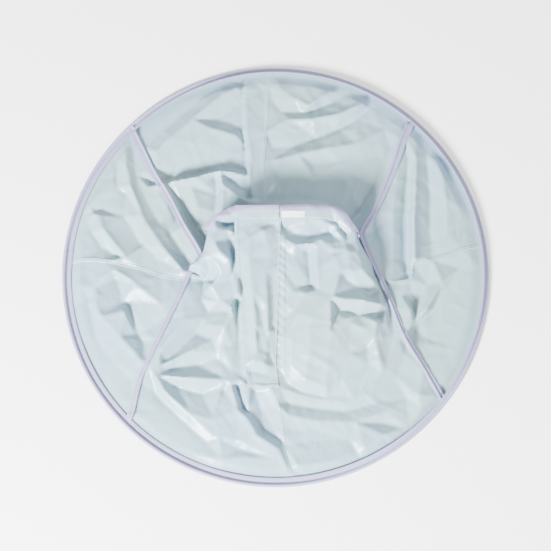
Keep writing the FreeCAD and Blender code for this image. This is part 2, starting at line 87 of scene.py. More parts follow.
SIDE_LEFT = [(-108, -11, 14), (-117, -3, 22), (-130, 5, 30), (-123, 16, 35), (-111, 28, 39),
             (-107, 39, 42), (-103, 57, 45), (-104, 64, 46)]
SIDE_RIGHT = [(160, -14, 14), (156, -6, 18), (149, 8, 25), (141, 21, 33), (126, 47, 44), (124, 61, 46)]
MOUTH_LEFT = [(-104, 64, 46), (-87, 85, 50), (-74, 91, 52), (-61, 97, 54), (-30, 98, 55), (6, 98, 55)]
MOUTH_RIGHT = [(6, 98, 55), (50, 99, 55), (82, 97, 54), (103, 88, 52), (114, 73, 49), (124, 61, 46)]
MOUTH_BACK = [(-104, 64, 40), (-98, 58, 36), (-80, 62, 33), (-40, 74, 30), (8, 82, 28), (60, 74, 30),
              (100, 60, 34), (118, 54, 38), (124, 61, 40)]
SLIT = [(6, -175.4, 12.6), (6, 6, 40), (6, 98, 55)]

GORE_FRONT_FOLDS = [
    [(-108, -34, 15.5), (-137, -74, 18), (-173, -119, 15), (-188, -143, 13)],
    [(-101, -60, 13), (-120, -92, 8), (-150, -120, 8), (-165, -133, 8)],
    [(-95, -103, 16), (-130, -121, 15), (-173, -142, 12), (-188, -143, 13)],
    [(-158, -147, 5), (-120, -140, 6), (-84, -130, 11)],
    [(-175, -155, 11), (-128, -159, 14), (-72, -163, 14)],
    [(-150, -172, 5), (-110, -182, 5), (-78, -176, 8)],
    [(-188, -143, 13), (-166, -177, 11), (-128, -211, 10), (-94, -242, 9), (-83, -247, 9)],
    [(-178, -183, 4), (-140, -220, 4), (-104, -252, 4)],
    [(-66, -166, 14), (-56, -204, 12), (-29, -242, 11), (2, -260, 9), (22, -298, 5)],
    [(-58, -172, 8), (-46, -206, 5), (-22, -238, 4), (4, -250, 4)],
    [(-52, -164, 13), (-40, -215, 11), (-24, -240, 9), (0, -251, 6)],
    [(-32, -176, 8), (-22, -205, 4), (-6, -228, 4)],
    [(-75, -160, 13.5), (-92, -220, 11), (-56, -249, 9), (-4, -276, 7)],
    [(-83, -247, 9), (-81, -276, 7), (5, -283, 6)],
    [(-247, 2, 9), (-213, -18, 13), (-173, -49, 13)],
    [(-242, -9, 3), (-231, -45, 2.5), (-208, -94, 3), (-199, -104, 4)],
    [(-262, -67, 9), (-233, -98, 10), (-200, -134, 10)],
    [(-285, -40, 3.5), (-268, -105, 3.5), (-251, -164, 3.5)],
    [(-296, -22, 7), (-274, -24, 7)],
    [(-128, -2, 14), (-143, -36, 15), (-159, -69, 13), (-175, -103, 12), (-191, -137, 11), (-202, -166, 8),
     (-212, -212, 4)],
    [(18, -196, 5.5), (55, -203, 5), (105, -208, 5), (150, -196, 5)],
    [(20, -214, 9), (60, -222, 8), (120, -224, 8), (165, -208, 7)],
    [(214, -184, 9), (217, -203, 7)],
    [(158, -242, 9), (185, -257, 6)],
    [(132, -260, 9), (146, -274, 6)],
    [(60, -250, 4.5), (110, -250, 4.5)],
    [(30, -285, 7), (90, -282, 6), (130, -285, 4)],
    [(196, -96, 11), (226, -58, 13), (252, -17, 10)],
    [(208, -92, 4), (238, -58, 4), (262, -30, 4)],
    [(182, -56, 14.5), (204, -58, 13), (200, -80, 12), (184, -96, 12.5)],
    [(176, -16, 13), (192, -36, 12), (204, -58, 13)],
    [(210, -50, 4), (211, -80, 4), (200, -110, 5)],
    [(160, -17, 14), (175, -52, 14.5), (192, -95, 12), (221, -144, 8), (248, -190, 4)],
    [(180, -160, 5), (196, -190, 4.5)],
]
GORE_FRONT_RESTS = [
    (-240, -140, 5), (-215, -165, 4.5), (-180, -230, 4), (-120, -270, 4), (-60, -300, 3.5), (-226, -60, 9),
    (-268, -60, 8), (-292, -95, 3.5), (200, -235, 4), (255, -110, 4.5), (285, -60, 4), (235, -170, 4),
    (160, -225, 4), (60, -236, 5.5), (280, 5, 4), (230, -20, 6), (-55, -262, 5), (-20, -300, 4),
]
SLEEVE_FOLDS = [
    [(-57, -31, 41), (-66, -58, 34), (-76, -83, 27), (-87, -98, 20), (-95, -103, 16)],
    [(-97, -21, 26), (-108, -34, 15.5)],
    [(-66, -10, 31), (-84, -44, 23), (-101, -60, 13)],
    [(-97, -21, 26), (-82, -2, 36), (-66, 14, 43)],
    [(-114, 6, 31), (-98, 2, 27), (-92, -14, 24)],
    [(-92, 44, 50), (-84, 30, 48.5), (-69, 17, 45)],
    [(-92, 44, 50), (-103, 22, 41), (-118, 10, 33)],
    [(-83, 72, 43), (-73, 71, 42), (-64, 73, 43)],
    [(-88, 66, 49), (-72, 62, 49), (-65, 55, 48)],
    [(-90, 78, 50), (-72, 82, 52), (-62, 84, 52)],
    [(-67, 48, 41), (-64, -5, 33), (-59, -43, 27), (-54, -102, 16.5), (-49, -158, 12)],
    [(-58, 60, 46), (-54, 0, 37), (-48, -45, 30.5), (-43, -102, 21), (-38, -165, 12)],
    [(-25, 80, 50), (-22, 0, 37), (-18, -100, 22), (-15, -165, 12)],
    [(-76, -83, 27), (-80, -112, 17)],
    [(-69, -60, 26), (-66, -110, 17), (-62, -148, 12.8)],
    [(12, 79, 52.5), (45, 79, 52.5), (70, 76, 52), (92, 69, 50)],
    [(14, 66, 45), (32, 55, 43.5), (52, 52, 43), (66, 55, 44)],
    [(12, 48, 47.5), (30, 39, 49), (53, 39, 50), (68, 47, 51)],
    [(68, 47, 51), (76, 40, 50), (81, 28, 48)],
    [(68, 62, 45), (84, 55, 45.5)],
    [(14, 30, 43.5), (28, 22, 43), (36, 4, 40), (34, -22, 35)],
    [(48, 34, 42), (52, 4, 37), (54, -22, 34)],
    [(60, 37, 49.5), (61, 4, 45), (62, -26, 41)],
    [(66, 38, 50), (108, 30, 50), (112, 2, 46)],
    [(91, 72, 47), (100, 62, 44), (105, 57, 43)],
    [(96, 78, 51), (108, 66, 49), (116, 55, 47)],
    [(88, 66, 49), (97, 56, 48), (106, 44, 47)],
    [(44, -32, 40), (82, -39, 45), (100, -44, 43)],
    [(44, -32, 40), (28, -58, 36), (10, -96, 28), (9, -132, 19.5)],
    [(34, -64, 40), (22, -100, 34), (22, -140, 25)],
    [(82, -39, 45), (82, -90, 39), (78, -140, 29), (74, -172, 19)],
    [(52, -70, 43), (50, -120, 35), (44, -160, 24)],
    [(85, -37, 45), (132, -44, 40), (158, -50, 28), (168, -52, 18)],
    [(92, -56, 33), (126, -63, 29), (152, -66, 20)],
    [(111, 22, 48), (132, 0, 42), (147, -16, 31), (158, -26, 20)],
    [(104, -8, 40), (124, -24, 33), (140, -34, 27)],
    [(135, -86, 30), (150, -74, 29), (162, -76, 21), (173, -84, 14.5)],
    [(135, -86, 30), (131, -103, 27), (146, -98, 26), (164, -100, 18)],
    [(148, -98, 26), (154, -130, 19), (160, -150, 13)],
    [(136, -112, 20), (139, -140, 16)],
    [(110, -76, 33), (108, -120, 27), (100, -160, 18)],
    [(9, -150, 14.5), (18, -166, 12.5), (40, -178, 11), (76, -186, 10), (116, -187, 10)],
    [(10, 40, 45), (8, 0, 39.5), (7, -43, 32), (6, -100, 24), (6, -150, 15)],
]
SLEEVE_RESTS = [
    (-86, 6, 39), (-100, 44, 45), (20, 10, 41.5), (24, -30, 36), (96, 0, 47), (124, 30, 44), (60, -150, 26),
    (120, -150, 17), (130, -170, 11.5), (64, 90, 54), (20, 90, 54.5), (-60, -70, 25), (12, -70, 29),
    (100, -70, 37), (90, 20, 50),
]
GORE_BACK_FOLDS = [
    [(-196, 131, 8), (-161, 137, 14), (-123, 144, 16), (-85, 154, 15), (-41, 148, 11)],
    [(-190, 137, 3.5), (-161, 142.5, 3.5), (-123, 149.5, 3.5), (-85, 160, 3.5), (-44, 154, 3.5)],
    [(-85, 154, 15), (-82, 128, 13), (-83, 95, 14), (-84, 70, 12)],
    [(-92, 148, 9), (-90, 120, 7), (-92, 90, 8)],
    [(-81, 134, 14), (-60, 117, 13), (-38, 109, 11), (-24, 106, 9)],
    [(-74, 142, 7), (-56, 128, 6), (-42, 122, 5)],
    [(-38, 301, 4), (-56, 286, 8), (-80, 277, 10), (-105, 256, 12), (-128, 236, 12), (-164, 205, 12),
     (-184, 185, 10)],
    [(-84, 296, 4), (-112, 276, 5), (-140, 250, 5), (-172, 222, 5)],
    [(-92, 236, 4), (-56, 262, 3.5), (-20, 286, 3.5)],
    [(-92, 236, 4), (-70, 232, 3.5), (-50, 227, 4)],
    [(-100, 222, 11), (-130, 200, 11), (-160, 180, 9)],
    [(-154, 156, 4), (-120, 172, 6), (-80, 190, 7), (-50, 200, 7)],
    [(-233, 196, 6), (-231, 164, 10), (-222, 128, 12), (-204, 84, 13), (-173, 39, 14), (-139, 0, 14)],
    [(-221, 190, 4.5), (-214, 150, 7.5), (-198, 110, 8.5), (-176, 74, 8.5), (-160, 58, 7.5), (-134, 16, 7)],
    [(-246, 176, 4), (-244, 130, 5), (-232, 84, 6), (-206, 44, 6)],
    [(-231, 122, 5), (-274, 93, 4), (-296, 86, 3.5)],
    [(-288, 100, 7), (-274, 88, 8), (-265, 66, 11), (-229, 21, 11)],
    [(-282, 60, 4), (-262, 36, 4), (-240, 22, 5)],
    [(-222, 225, 3), (-204, 191, 6), (-186, 155, 7), (-161, 115, 10), (-137, 70, 12), (-113, 30, 13)],
    [(-172, 150, 4.5), (-146, 104, 5), (-124, 66, 4), (-106, 40, 4)],
    [(-52, 290, 4), (-53, 220, 4), (-45, 173, 4), (-41, 112, 3.5)],
    [(-48, 285, 6), (-47, 220, 8), (-39, 173, 9), (-35, 112, 8)],
    [(104, 292, 4), (77, 274, 9), (52, 256, 11)],
    [(149, 274, 5), (126, 256, 11), (99, 243, 13), (59, 236, 12), (21, 236, 8)],
    [(10, 250, 3.5), (40, 248, 4), (66, 256, 4), (90, 266, 3.5), (117, 281, 3.5)],
    [(-6, 172, 7), (36, 180, 13), (80, 190, 13), (126, 198, 11)],
    [(-4, 192, 4), (25, 194, 4), (63, 208, 4), (97, 222, 4), (126, 238, 4), (147, 256, 3.5)],
    [(150, 250, 4), (171, 240, 4), (198, 240, 4)],
    [(8, 284, 8), (30, 270, 8), (46, 290, 6)],
    [(-10, 112, 3), (30, 112, 2.5), (72, 110, 3), (96, 100, 3.5)],
    [(0, 140, 7), (60, 140, 9), (110, 140, 8)],
    [(209, 241, 3), (194, 205, 6), (185, 178, 7), (173, 146, 8), (160, 117, 10), (146, 90, 12),
     (128.5, 61, 14), (141, 22, 12), (160, -14, 14)],
    [(178, 190, 4), (162, 150, 4), (146, 118, 4), (130, 92, 3.5), (114, 74, 3.5)],
    [(218, 225, 5), (216, 173, 10), (213, 128, 13), (210, 84, 15), (209, 16, 15), (208, -8, 13)],
    [(206, 178, 5), (203, 128, 3.5), (201, 84, 2.5), (200, 16, 2.5), (201, -8, 6)],
    [(188, 150, 8), (180, 90, 9), (178, 20, 9)],
    [(234, 180, 5), (238, 120, 5.5), (236, 60, 5.5)],
    [(252, 170, 9), (262, 110, 9), (262, 60, 8), (246, 26, 7.5)],
    [(312, 30, 4), (292, 22, 8), (272, 20, 8)],
]
GORE_BACK_RESTS = [
    (-130, 130, 12), (-120, 100, 10), (-60, 90, 8), (-250, 140, 6), (-200, 40, 9), (-300, 50, 4),
    (-150, 90, 5), (-60, 60, 6), (40, 80, 4), (100, 60, 5), (150, 60, 8), (160, 20, 9), (170, 220, 6),
    (100, 170, 10), (60, 165, 8), (140, 170, 7), (280, 130, 4.5), (290, 70, 4), (200, 210, 6),
    (-140, 270, 4), (-60, 210, 9), (0, 260, 5), (-30, 60, 7), (60, 120, 5), (20, -80, 10), (-180, 20, 9),
]
FLAP_LEFT = [(5, -171.5, 15), (-20, -171.5, 15.5), (-41, -171, 16.5), (-44, -136, 23), (-47, -102, 27.5),
             (-52, -43, 36.5), (-58, -5, 42.5), (-61, 50, 50), (-61, 79.6, 54.5)]
FLAP_RIGHT = [(9, 79.6, 55), (7.6, 47, 49.5), (6, 6, 43), (4.6, -43, 35), (3, -87, 28), (1.7, -140, 19.6),
              (5, -171.5, 15)]
FLAP_FOLDS = [
    [(-56, 36, 51), (-38, 50, 54.5), (-19, 61, 56.5), (-11, 40, 52.5), (-6, 22, 48)],
    [(-58, 66, 52), (-30, 72, 53), (0, 70, 52)],
    [(-40, 20, 51), (-34, -30, 44.5), (-30, -80, 36.5), (-28, -120, 29)],
    [(-14, 0, 47), (-12, -50, 39), (-11, -90, 32), (-12, -124, 26)],
    [(-4, -8, 41.5), (-5, -44, 35.5), (-6, -80, 29)],
    [(-44, -130, 24), (-34, -133, 27), (-16, -138, 25), (0, -143, 19)],
    [(-42, -146, 19), (-26, -149, 19), (-10, -153, 17.5), (1, -155, 17)],
    [(-22, -60, 36), (-16, -86, 31), (-9, -104, 27)],
    [(-26, -95, 31), (-18, -116, 27), (-8, -128, 22)],
]

RIB_LEFT = [(-222, 226, 4.5), (-204, 191, 8), (-186, 155, 10), (-161, 115, 13), (-137, 70, 16),
            (-113, 30, 17.5), (-116, 14, 17), (-128, -2, 16.5), (-143, -36, 17), (-159, -69, 16),
            (-175, -103, 14.5), (-191, -137, 13), (-202, -166, 10.5), (-211, -206, 7), (-217, -221, 4.5)]
RIB_RIGHT = [(209, 239, 4.5), (194, 205, 8), (185, 178, 10), (173, 146, 12), (160, 117, 14),
             (146, 90, 16.5), (129, 61, 18), (133, 42, 18.5), (144, 16, 20), (152, 0, 20.5),
             (160, -17, 19), (175, -52, 17.5), (192, -95, 15), (221, -144, 11), (249, -194, 4.5)]


class CapeCloth(PropertyGroup):
    mesh_spacing: FloatProperty(name="Mesh spacing", description="Distance between points of the cloth",
                                default=2.5 * MM, unit="LENGTH")
    thickness: FloatProperty(name="Thickness", description="Thickness of the coated cloth",
                             default=0.45 * MM, unit="LENGTH")
    crease_softness: FloatProperty(name="Crease softness", description="How far a fold is rounded",
                                   default=1.7 * MM, unit="LENGTH")
    crumple: FloatProperty(name="Crumple", description="Height of the small wrinkles",
                           default=1.8 * MM, unit="LENGTH")
    colour: FloatVectorProperty(name="Cloth colour", description="Colour of the coated cloth",
                                subtype="COLOR", size=3, default=(0.345, 0.505, 0.61))
    shade_colour: FloatVectorProperty(name="Second colour", description="Greener colour that drifts in",
                                      subtype="COLOR", size=3, default=(0.37, 0.52, 0.545))


class CapeBinding(PropertyGroup):
    rim_width: FloatProperty(name="Rim width", description="Width of the tape flange inside the hoop",
                             default=8.5 * MM, unit="LENGTH")
    roll_radius: FloatProperty(name="Roll radius", description="Radius of the tape round the hoop wire",
                               default=2.7 * MM, unit="LENGTH")
    rib_width: FloatProperty(name="Rib width", description="Width of the rib tape's flat flange",
                             default=7.5 * MM, unit="LENGTH")
    colour: FloatVectorProperty(name="Tape colour", description="Colour of the woven binding tape",
                                subtype="COLOR", size=3, default=(0.25, 0.25, 0.40))


class CapeThread(PropertyGroup):
    pitch: FloatProperty(name="Stitch pitch", description="Distance from one stitch to the next",
                         default=3.4 * MM, unit="LENGTH")
    length: FloatProperty(name="Stitch length", description="Length of the thread that shows",
                          default=2.5 * MM, unit="LENGTH")
    radius: FloatProperty(name="Thread radius", description="Radius of the thread",
                          default=0.38 * MM, unit="LENGTH")
    seed: IntProperty(name="Seed", description="Seed of the stitches' unevenness", default=7)


class CapeStage(PropertyGroup):
    elevation: FloatProperty(name="Elevation", description="Height of the camera above the horizon",
                             default=DRAWN_ELEVATION, subtype="ANGLE")
    lens: FloatProperty(name="Lens", description="Focal length of the camera", default=85.0,
                        subtype="DISTANCE_CAMERA")
    picture_width: FloatProperty(name="Picture width", description="Width seen at the cape",
                                 default=0.8375, unit="LENGTH")


def on_cape(line):
    """The drawn points with the lean of their heights taken out."""
    return [(x, (y - z * math.cos(DRAWN_ELEVATION)) / math.sin(DRAWN_ELEVATION), z) for x, y, z in line]


def evenly(points, spacing=None, count=None):
    """Points at even steps along a polyline."""
    points = np.asarray(points, float)
    along = np.concatenate([[0], np.cumsum(np.linalg.norm(np.diff(points, axis=0), axis=1))])
    count = count or max(1, round(along[-1] / spacing))
    steps = np.linspace(0, along[-1], count + 1)
    return np.stack([np.interp(steps, along, points[:, k]) for k in range(points.shape[1])], axis=1)


def curved(points, spacing=None, count=None, per_span=10):
    """Even points on a smooth curve through the given ones."""
    p = np.asarray(points, float)
    p = np.vstack([2 * p[0] - p[1], p, 2 * p[-1] - p[-2]])
    rows = []
    for i in range(1, len(p) - 2):
        for t in np.linspace(0, 1, per_span, endpoint=False):
            rows.append(0.5 * (2 * p[i] + (p[i + 1] - p[i - 1]) * t
                               + (2 * p[i - 1] - 5 * p[i] + 4 * p[i + 1] - p[i + 2]) * t ** 2
                               + (3 * p[i] - p[i - 1] - 3 * p[i + 1] + p[i + 2]) * t ** 3))
    rows.append(p[-2])
    return evenly(rows, spacing, count)


def rim_arc(start, end, radius, spacing):
    """Points round the rim from one angle to another, in degrees."""
    count = max(1, round(abs(math.radians(end - start)) * radius / spacing))
    angles = np.radians(np.linspace(start, end, count + 1))
    return np.stack([radius * np.cos(angles), radius * np.sin(angles)], axis=1)


def bearing(point):
    """The angle of a flat point about the middle, in degrees."""
    return math.degrees(math.atan2(point[1], point[0]))


def within(xy, outline):
    """Which points lie inside a closed outline."""
    inside = np.zeros(len(xy), bool)
    x, y = xy[:, 0], xy[:, 1]
    for (x1, y1), (x2, y2) in zip(outline, np.roll(outline, -1, axis=0)):
        if y1 == y2:
            continue
        crosses = ((y1 > y) != (y2 > y)) & (x < (x2 - x1) * (y - y1) / (y2 - y1) + x1)
        inside ^= crosses
    return inside


def distance_to(xy, line):
    """Distance of each point from a polyline."""
    best = np.full(len(xy), np.inf)
    for a, b in zip(line[:-1], line[1:]):
        ab = b - a
        t = np.clip(((xy - a) @ ab) / max(ab @ ab, 1e-9), 0, 1)
        best = np.minimum(best, np.linalg.norm(xy - (a + t[:, None] * ab), axis=1))
    return best


class Relief:
    """Heights of a cloth over a square grid, made flat between its folds and rounded a little."""
    STEP = 2.0
    REACH = 336.0

    def __init__(self, heights):
        self.heights = heights

    @classmethod
    def places(cls):
        axis = np.arange(-cls.REACH, cls.REACH + cls.STEP / 2, cls.STEP)
        return np.meshgrid(axis, axis)

    @classmethod
    def from_folds(cls, folds, rests):
        flat, heights, edges = [], [], []
        for line in folds:
            first = len(flat)
            for x, y, z in line:
                flat.append(Vector((x, y)))
                heights.append(z)
            edges += [(i, i + 1) for i in range(first, len(flat) - 1)]
        for x, y, z in rests:
            flat.append(Vector((x, y)))
            heights.append(z)
        corners, _, faces, origins, _, _ = geometry.delaunay_2d_cdt(flat, edges, [], 0, 0.01)
        levels = [np.mean([heights[i] for i in ids]) if ids else crossing_height(p, flat, heights, edges)
                  for p, ids in zip(corners, origins)]
        grid_x, grid_y = cls.places()
        grid = np.full(grid_x.shape, RIM_REST)
        for face in faces:
            (ax, ay), (bx, by), (cx, cy) = (corners[i] for i in face)
            area = (bx - ax) * (cy - ay) - (cx - ax) * (by - ay)
            if abs(area) < 1e-6:
                continue
            lo_i = max(0, int((min(ay, by, cy) + cls.REACH) / cls.STEP))
            hi_i = int((max(ay, by, cy) + cls.REACH) / cls.STEP) + 2
            lo_j = max(0, int((min(ax, bx, cx) + cls.REACH) / cls.STEP))
            hi_j = int((max(ax, bx, cx) + cls.REACH) / cls.STEP) + 2
            x, y = grid_x[lo_i:hi_i, lo_j:hi_j], grid_y[lo_i:hi_i, lo_j:hi_j]
            wb = ((x - ax) * (cy - ay) - (cx - ax) * (y - ay)) / area
            wc = ((bx - ax) * (y - ay) - (x - ax) * (by - ay)) / area
            wa = 1 - wb - wc
            hit = (wa >= -1e-6) & (wb >= -1e-6) & (wc >= -1e-6)
            za, zb, zc = (levels[i] for i in face)
            grid[lo_i:hi_i, lo_j:hi_j][hit] = (wa * za + wb * zb + wc * zc)[hit]
        return cls(grid)

    def rounded(self, softness):
        near = blurred(self.heights, softness / self.STEP)
        wide = blurred(self.heights, 2.4 * softness / self.STEP)
        return Relief(0.85 * near + 0.15 * wide)

    def plus(self, extra):
        return Relief(self.heights + extra)

    def deepened(self, share, region, reach_mm=16.0):
        """Ridges raised and valleys sunk about the mean height nearby, inside a region."""
        weight = region.astype(float)
        reach = reach_mm / self.STEP
        mean = blurred(self.heights * weight, reach) / np.maximum(blurred(weight, reach), 1e-3)
        return Relief(self.heights + share * weight * (self.heights - mean))

    def __call__(self, xy):
        u = (np.asarray(xy)[:, 0] + self.REACH) / self.STEP
        v = (np.asarray(xy)[:, 1] + self.REACH) / self.STEP
        j, i = np.floor(u).astype(int), np.floor(v).astype(int)
        fu, fv = u - j, v - i
        h = self.heights
        return ((1 - fu) * (1 - fv) * h[i, j] + fu * (1 - fv) * h[i, j + 1]
                + (1 - fu) * fv * h[i + 1, j] + fu * fv * h[i + 1, j + 1])


def crossing_height(place, flat, heights, edges):
    """Height where two drawn folds cross: the mean of both there."""
    found = []
    for a, b in edges:
        span = flat[b] - flat[a]
        t = (place - flat[a]).dot(span) / max(span.length_squared, 1e-9)
        if 0 <= t <= 1 and (flat[a] + span * t - place).length < 0.05:
            found.append(heights[a] + (heights[b] - heights[a]) * t)
    return np.mean(found) if found else 6.0


def blurred(grid, sigma):
    """The grid smoothed by a bell curve that many steps wide."""
    reach = int(math.ceil(3 * sigma))
    offsets = np.arange(-reach, reach + 1)
    weights = np.exp(-0.5 * (offsets / sigma) ** 2)
    weights /= weights.sum()
    for axis in (0, 1):
        padded = np.pad(grid, [(reach, reach) if k == axis else (0, 0) for k in (0, 1)], mode="edge")
        size = grid.shape[axis]
        grid = sum(w * np.take(padded, range(k, k + size), axis=axis) for k, w in enumerate(weights))
    return grid


@functools.lru_cache
def crumpled(height, seed):
    """Small wrinkles over the grid: sharp ridges whose lines wander, in two sizes."""
    grid_x, grid_y = Relief.places()
    result = np.zeros(grid_x.size)
    for k, (x, y) in enumerate(zip(grid_x.ravel(), grid_y.ravel())):
        drift = noise.noise(Vector((x / 70, y / 70, seed)))
        far = noise.noise(Vector((x / 34 + 2.2 * drift, y / 46 - 1.6 * drift, seed + 5)))
        close = noise.noise(Vector((x / 13 + 3 * drift, y / 17, seed + 11)))
        patch = 0.5 + noise.noise(Vector((x / 90, y / 90, seed + 21)))
        result[k] = (0.55 - abs(far)) * 1.0 + (0.4 - abs(close)) * 0.34 * max(0.0, patch) * 2
    return (result * height).reshape(grid_x.shape)


def rim_ring():
    """The cloth's edge at the hoop, and the height there."""
    return [(RIM_LINE * math.cos(a), RIM_LINE * math.sin(a), RIM_REST)
            for a in np.radians(np.arange(0, 360, 8))]


FOLD_DEPTH = 0.62
PINCH = 1.15
TUCK_START = 312
TUCK_WIDTH = 14
TUCKED_HEIGHT = 1.4


@functools.lru_cache
def reliefs(softness, crumple):
    """The heights of the gores, the sleeve's front and the flap."""
    shared = [LEFT_SEAM, RIGHT_SEAM, FRONT_SEAM]
    front_lines = shared + [BASE_LEFT, BASE_SLIT, BASE_RIGHT, SIDE_LEFT, SIDE_RIGHT]
    front_lines += [MOUTH_LEFT, MOUTH_RIGHT] + GORE_FRONT_FOLDS + SLEEVE_FOLDS
    back_lines = shared + [BACK_SEAM, BASE_BACK_LEFT, BASE_BACK_RIGHT] + GORE_BACK_FOLDS
    front = Relief.from_folds([on_cape(line) for line in front_lines],
                              rim_ring() + on_cape(GORE_FRONT_RESTS + SLEEVE_RESTS))
    back = Relief.from_folds([on_cape(line) for line in back_lines], rim_ring() + on_cape(GORE_BACK_RESTS))
    grid_x, grid_y = Relief.places()
    places = np.stack([grid_x.ravel(), grid_y.ravel()], axis=1)
    left, right = flat_line(LEFT_SEAM), flat_line(RIGHT_SEAM)
    far = 400.0
    behind = within(places, np.array([(-far, left[0][1]), *left, *right, (far, right[-1][1]), (far, far),
                                      (-far, far)])).reshape(grid_x.shape)
    calm = np.clip((316 - np.hypot(grid_x, grid_y)) / 40, 0, 1)
    small = crumpled(crumple, 3.0) * calm
    onward = [flat_line(line) for line in (BASE_LEFT, BASE_SLIT, BASE_RIGHT, SIDE_RIGHT)]
    homeward = [flat_line(line)[::-1] for line in (MOUTH_RIGHT, MOUTH_LEFT, SIDE_LEFT)]
    sleeve_outline = chain(*onward, *homeward)
    on_sleeve = within(places, sleeve_outline).reshape(grid_x.shape)
    front = front.deepened(FOLD_DEPTH, ~behind | on_sleeve).deepened(PINCH, ~behind | on_sleeve, 5.0)
    back = back.deepened(FOLD_DEPTH, behind | on_sleeve).deepened(PINCH, behind | on_sleeve, 5.0)
    gores = Relief(np.where(behind, back.heights, front.heights)).rounded(softness).plus(small)
    tucked = np.clip((TUCK_START - np.hypot(grid_x, grid_y)) / TUCK_WIDTH, 0, 1)
    gores.heights = np.maximum(gores.heights, 1.0) * tucked + TUCKED_HEIGHT * (1 - tucked)
    sleeve = front.rounded(softness).plus(small)
    sewn_edge = flat_line(FLAP_RIGHT)
    aside = distance_to(places, sewn_edge).reshape(grid_x.shape)
    waves = np.sin(2 * math.pi * (grid_y + 0.9 * aside) / 12.5 + 1.5 * np.sin(grid_y / 21))
    along = np.clip((grid_y + 172) / 30, 0, 1) * np.clip((66 - grid_y) / 12, 0, 1)
    sleeve = sleeve.plus(0.85 * waves * along * np.clip(1 - aside / 17, 0, 1) * (grid_x > 3))
    flap_lines = [on_cape(line) for line in [FLAP_LEFT, FLAP_RIGHT, *FLAP_FOLDS]]
    collar = on_cape([(-62, 98, 58), (9, 98, 58)])
    flap_outline = chain(flat_line(FLAP_LEFT), flat_line(FLAP_RIGHT))
    on_flap = within(places, np.vstack([flap_outline, sewn_edge[-1:]])).reshape(grid_x.shape)
    flap = Relief.from_folds(flap_lines + [collar], rim_ring()).deepened(0.9, on_flap, 12.0)
    flap = flap.deepened(0.9, on_flap, 5.0).rounded(0.8 * softness).plus(0.8 * crumpled(crumple, 8.0))
    flap = flap.plus(0.45 * waves * along * np.clip(1 - aside / 12, 0, 1))
    pressed = np.clip(1 - aside / 3.2, 0, 1) ** 2
    flap.heights = np.maximum(flap.heights, sleeve.heights + 1.7) * (1 - pressed)
    flap.heights += (sleeve.heights + 0.7) * pressed
    return gores, sleeve, flap


def flat_line(line):
    """A drawn line laid on the cape, as plain x and y."""
    return np.array(on_cape(line))[:, :2]


def current_reliefs(context):
    """The reliefs at the softness and crumple that are set."""
    cloth = context.scene.cape_cloth
    return reliefs(round(cloth.crease_softness / MM, 3), round(cloth.crumple / MM, 3))


def filled(outline, spacing, seed=1):
    """Points and upward triangles that fill a closed outline, with the outline's own points kept."""
    outline = np.asarray(outline)
    rng = np.random.default_rng(seed)
    low, high = outline.min(axis=0), outline.max(axis=0)
    row_step = spacing * math.sqrt(3) / 2
    lattice = []
    for row, y in enumerate(np.arange(low[1], high[1], row_step)):
        xs = np.arange(low[0] + (row % 2) * spacing / 2, high[0], spacing)
        lattice.append(np.stack([xs, np.full(len(xs), y)], axis=1))
    lattice = np.vstack(lattice)
    lattice = lattice + rng.uniform(-0.14, 0.14, lattice.shape) * spacing
    lattice = lattice[within(lattice, outline)]
    closed = np.vstack([outline, outline[:1]])
    lattice = lattice[distance_to(lattice, closed) > 0.6 * spacing]
    flat = [Vector(p) for p in np.vstack([outline, lattice])]
    ring = [(i, (i + 1) % len(outline)) for i in range(len(outline))]
    corners, _, faces, _, _, _ = geometry.delaunay_2d_cdt(flat, ring, [], 0, 1e-5)
    xy = np.array([tuple(p) for p in corners])
    faces = np.array([face for face in faces if len(face) == 3])
    middle = xy[faces].mean(axis=1)
    a, b, c = (xy[faces[:, k]] for k in range(3))
    area = (b[:, 0] - a[:, 0]) * (c[:, 1] - a[:, 1]) - (c[:, 0] - a[:, 0]) * (b[:, 1] - a[:, 1])
    faces = np.where(area[:, None] > 0, faces, faces[:, ::-1])
    return xy, faces[within(middle, outline) & (abs(area) > 1e-4)]


def chain(*lines):
    """One closed outline from lines that follow each other."""
    return np.vstack([np.asarray(line)[:-1] for line in lines])


def strip_grid(rows, columns):
    """Triangles of a grid of points, row by row."""
    faces = []
    for i in range(rows - 1):
        for j in range(columns - 1):
            a, b = i * columns + j, i * columns + j + 1
            c, d = a + columns, b + columns
            faces += [(a, b, d), (a, d, c)]
    return np.array(faces)


def point_normals(points, faces):
    """The mean direction that the faces round each point look in."""
    cross = np.cross(points[faces[:, 1]] - points[faces[:, 0]], points[faces[:, 2]] - points[faces[:, 0]])
    normals = np.zeros_like(points)
    for k in range(3):
        np.add.at(normals, faces[:, k], cross)
    return normals / np.maximum(np.linalg.norm(normals, axis=1), 1e-9)[:, None]


def thickened(points, faces, thickness):
    """A closed shell: the sheet, its other side a thickness below, and the wall round its edge."""
    normals = point_normals(points, faces)
    count = len(points)
    both = np.vstack([points, points - normals * thickness])
    directed = {}
    for a, b, c in faces.tolist():
        for edge in ((a, b), (b, c), (c, a)):
            directed[edge] = True
    walls = [(a, a + count, b + count, b) for a, b in directed if (b, a) not in directed]
    all_faces = faces.tolist() + (faces[:, ::-1] + count).tolist() + walls
    return both, all_faces


def faced_outwards(points, faces):
    """The faces of a closed mesh, turned if they point in."""
    volume = 0.0
    for face in faces:
        a = points[face[0]]
        for b, c in zip(face[1:-1], face[2:]):
            volume += a @ np.cross(points[b], points[c])
    return faces if volume > 0 else [tuple(reversed(face)) for face in faces]


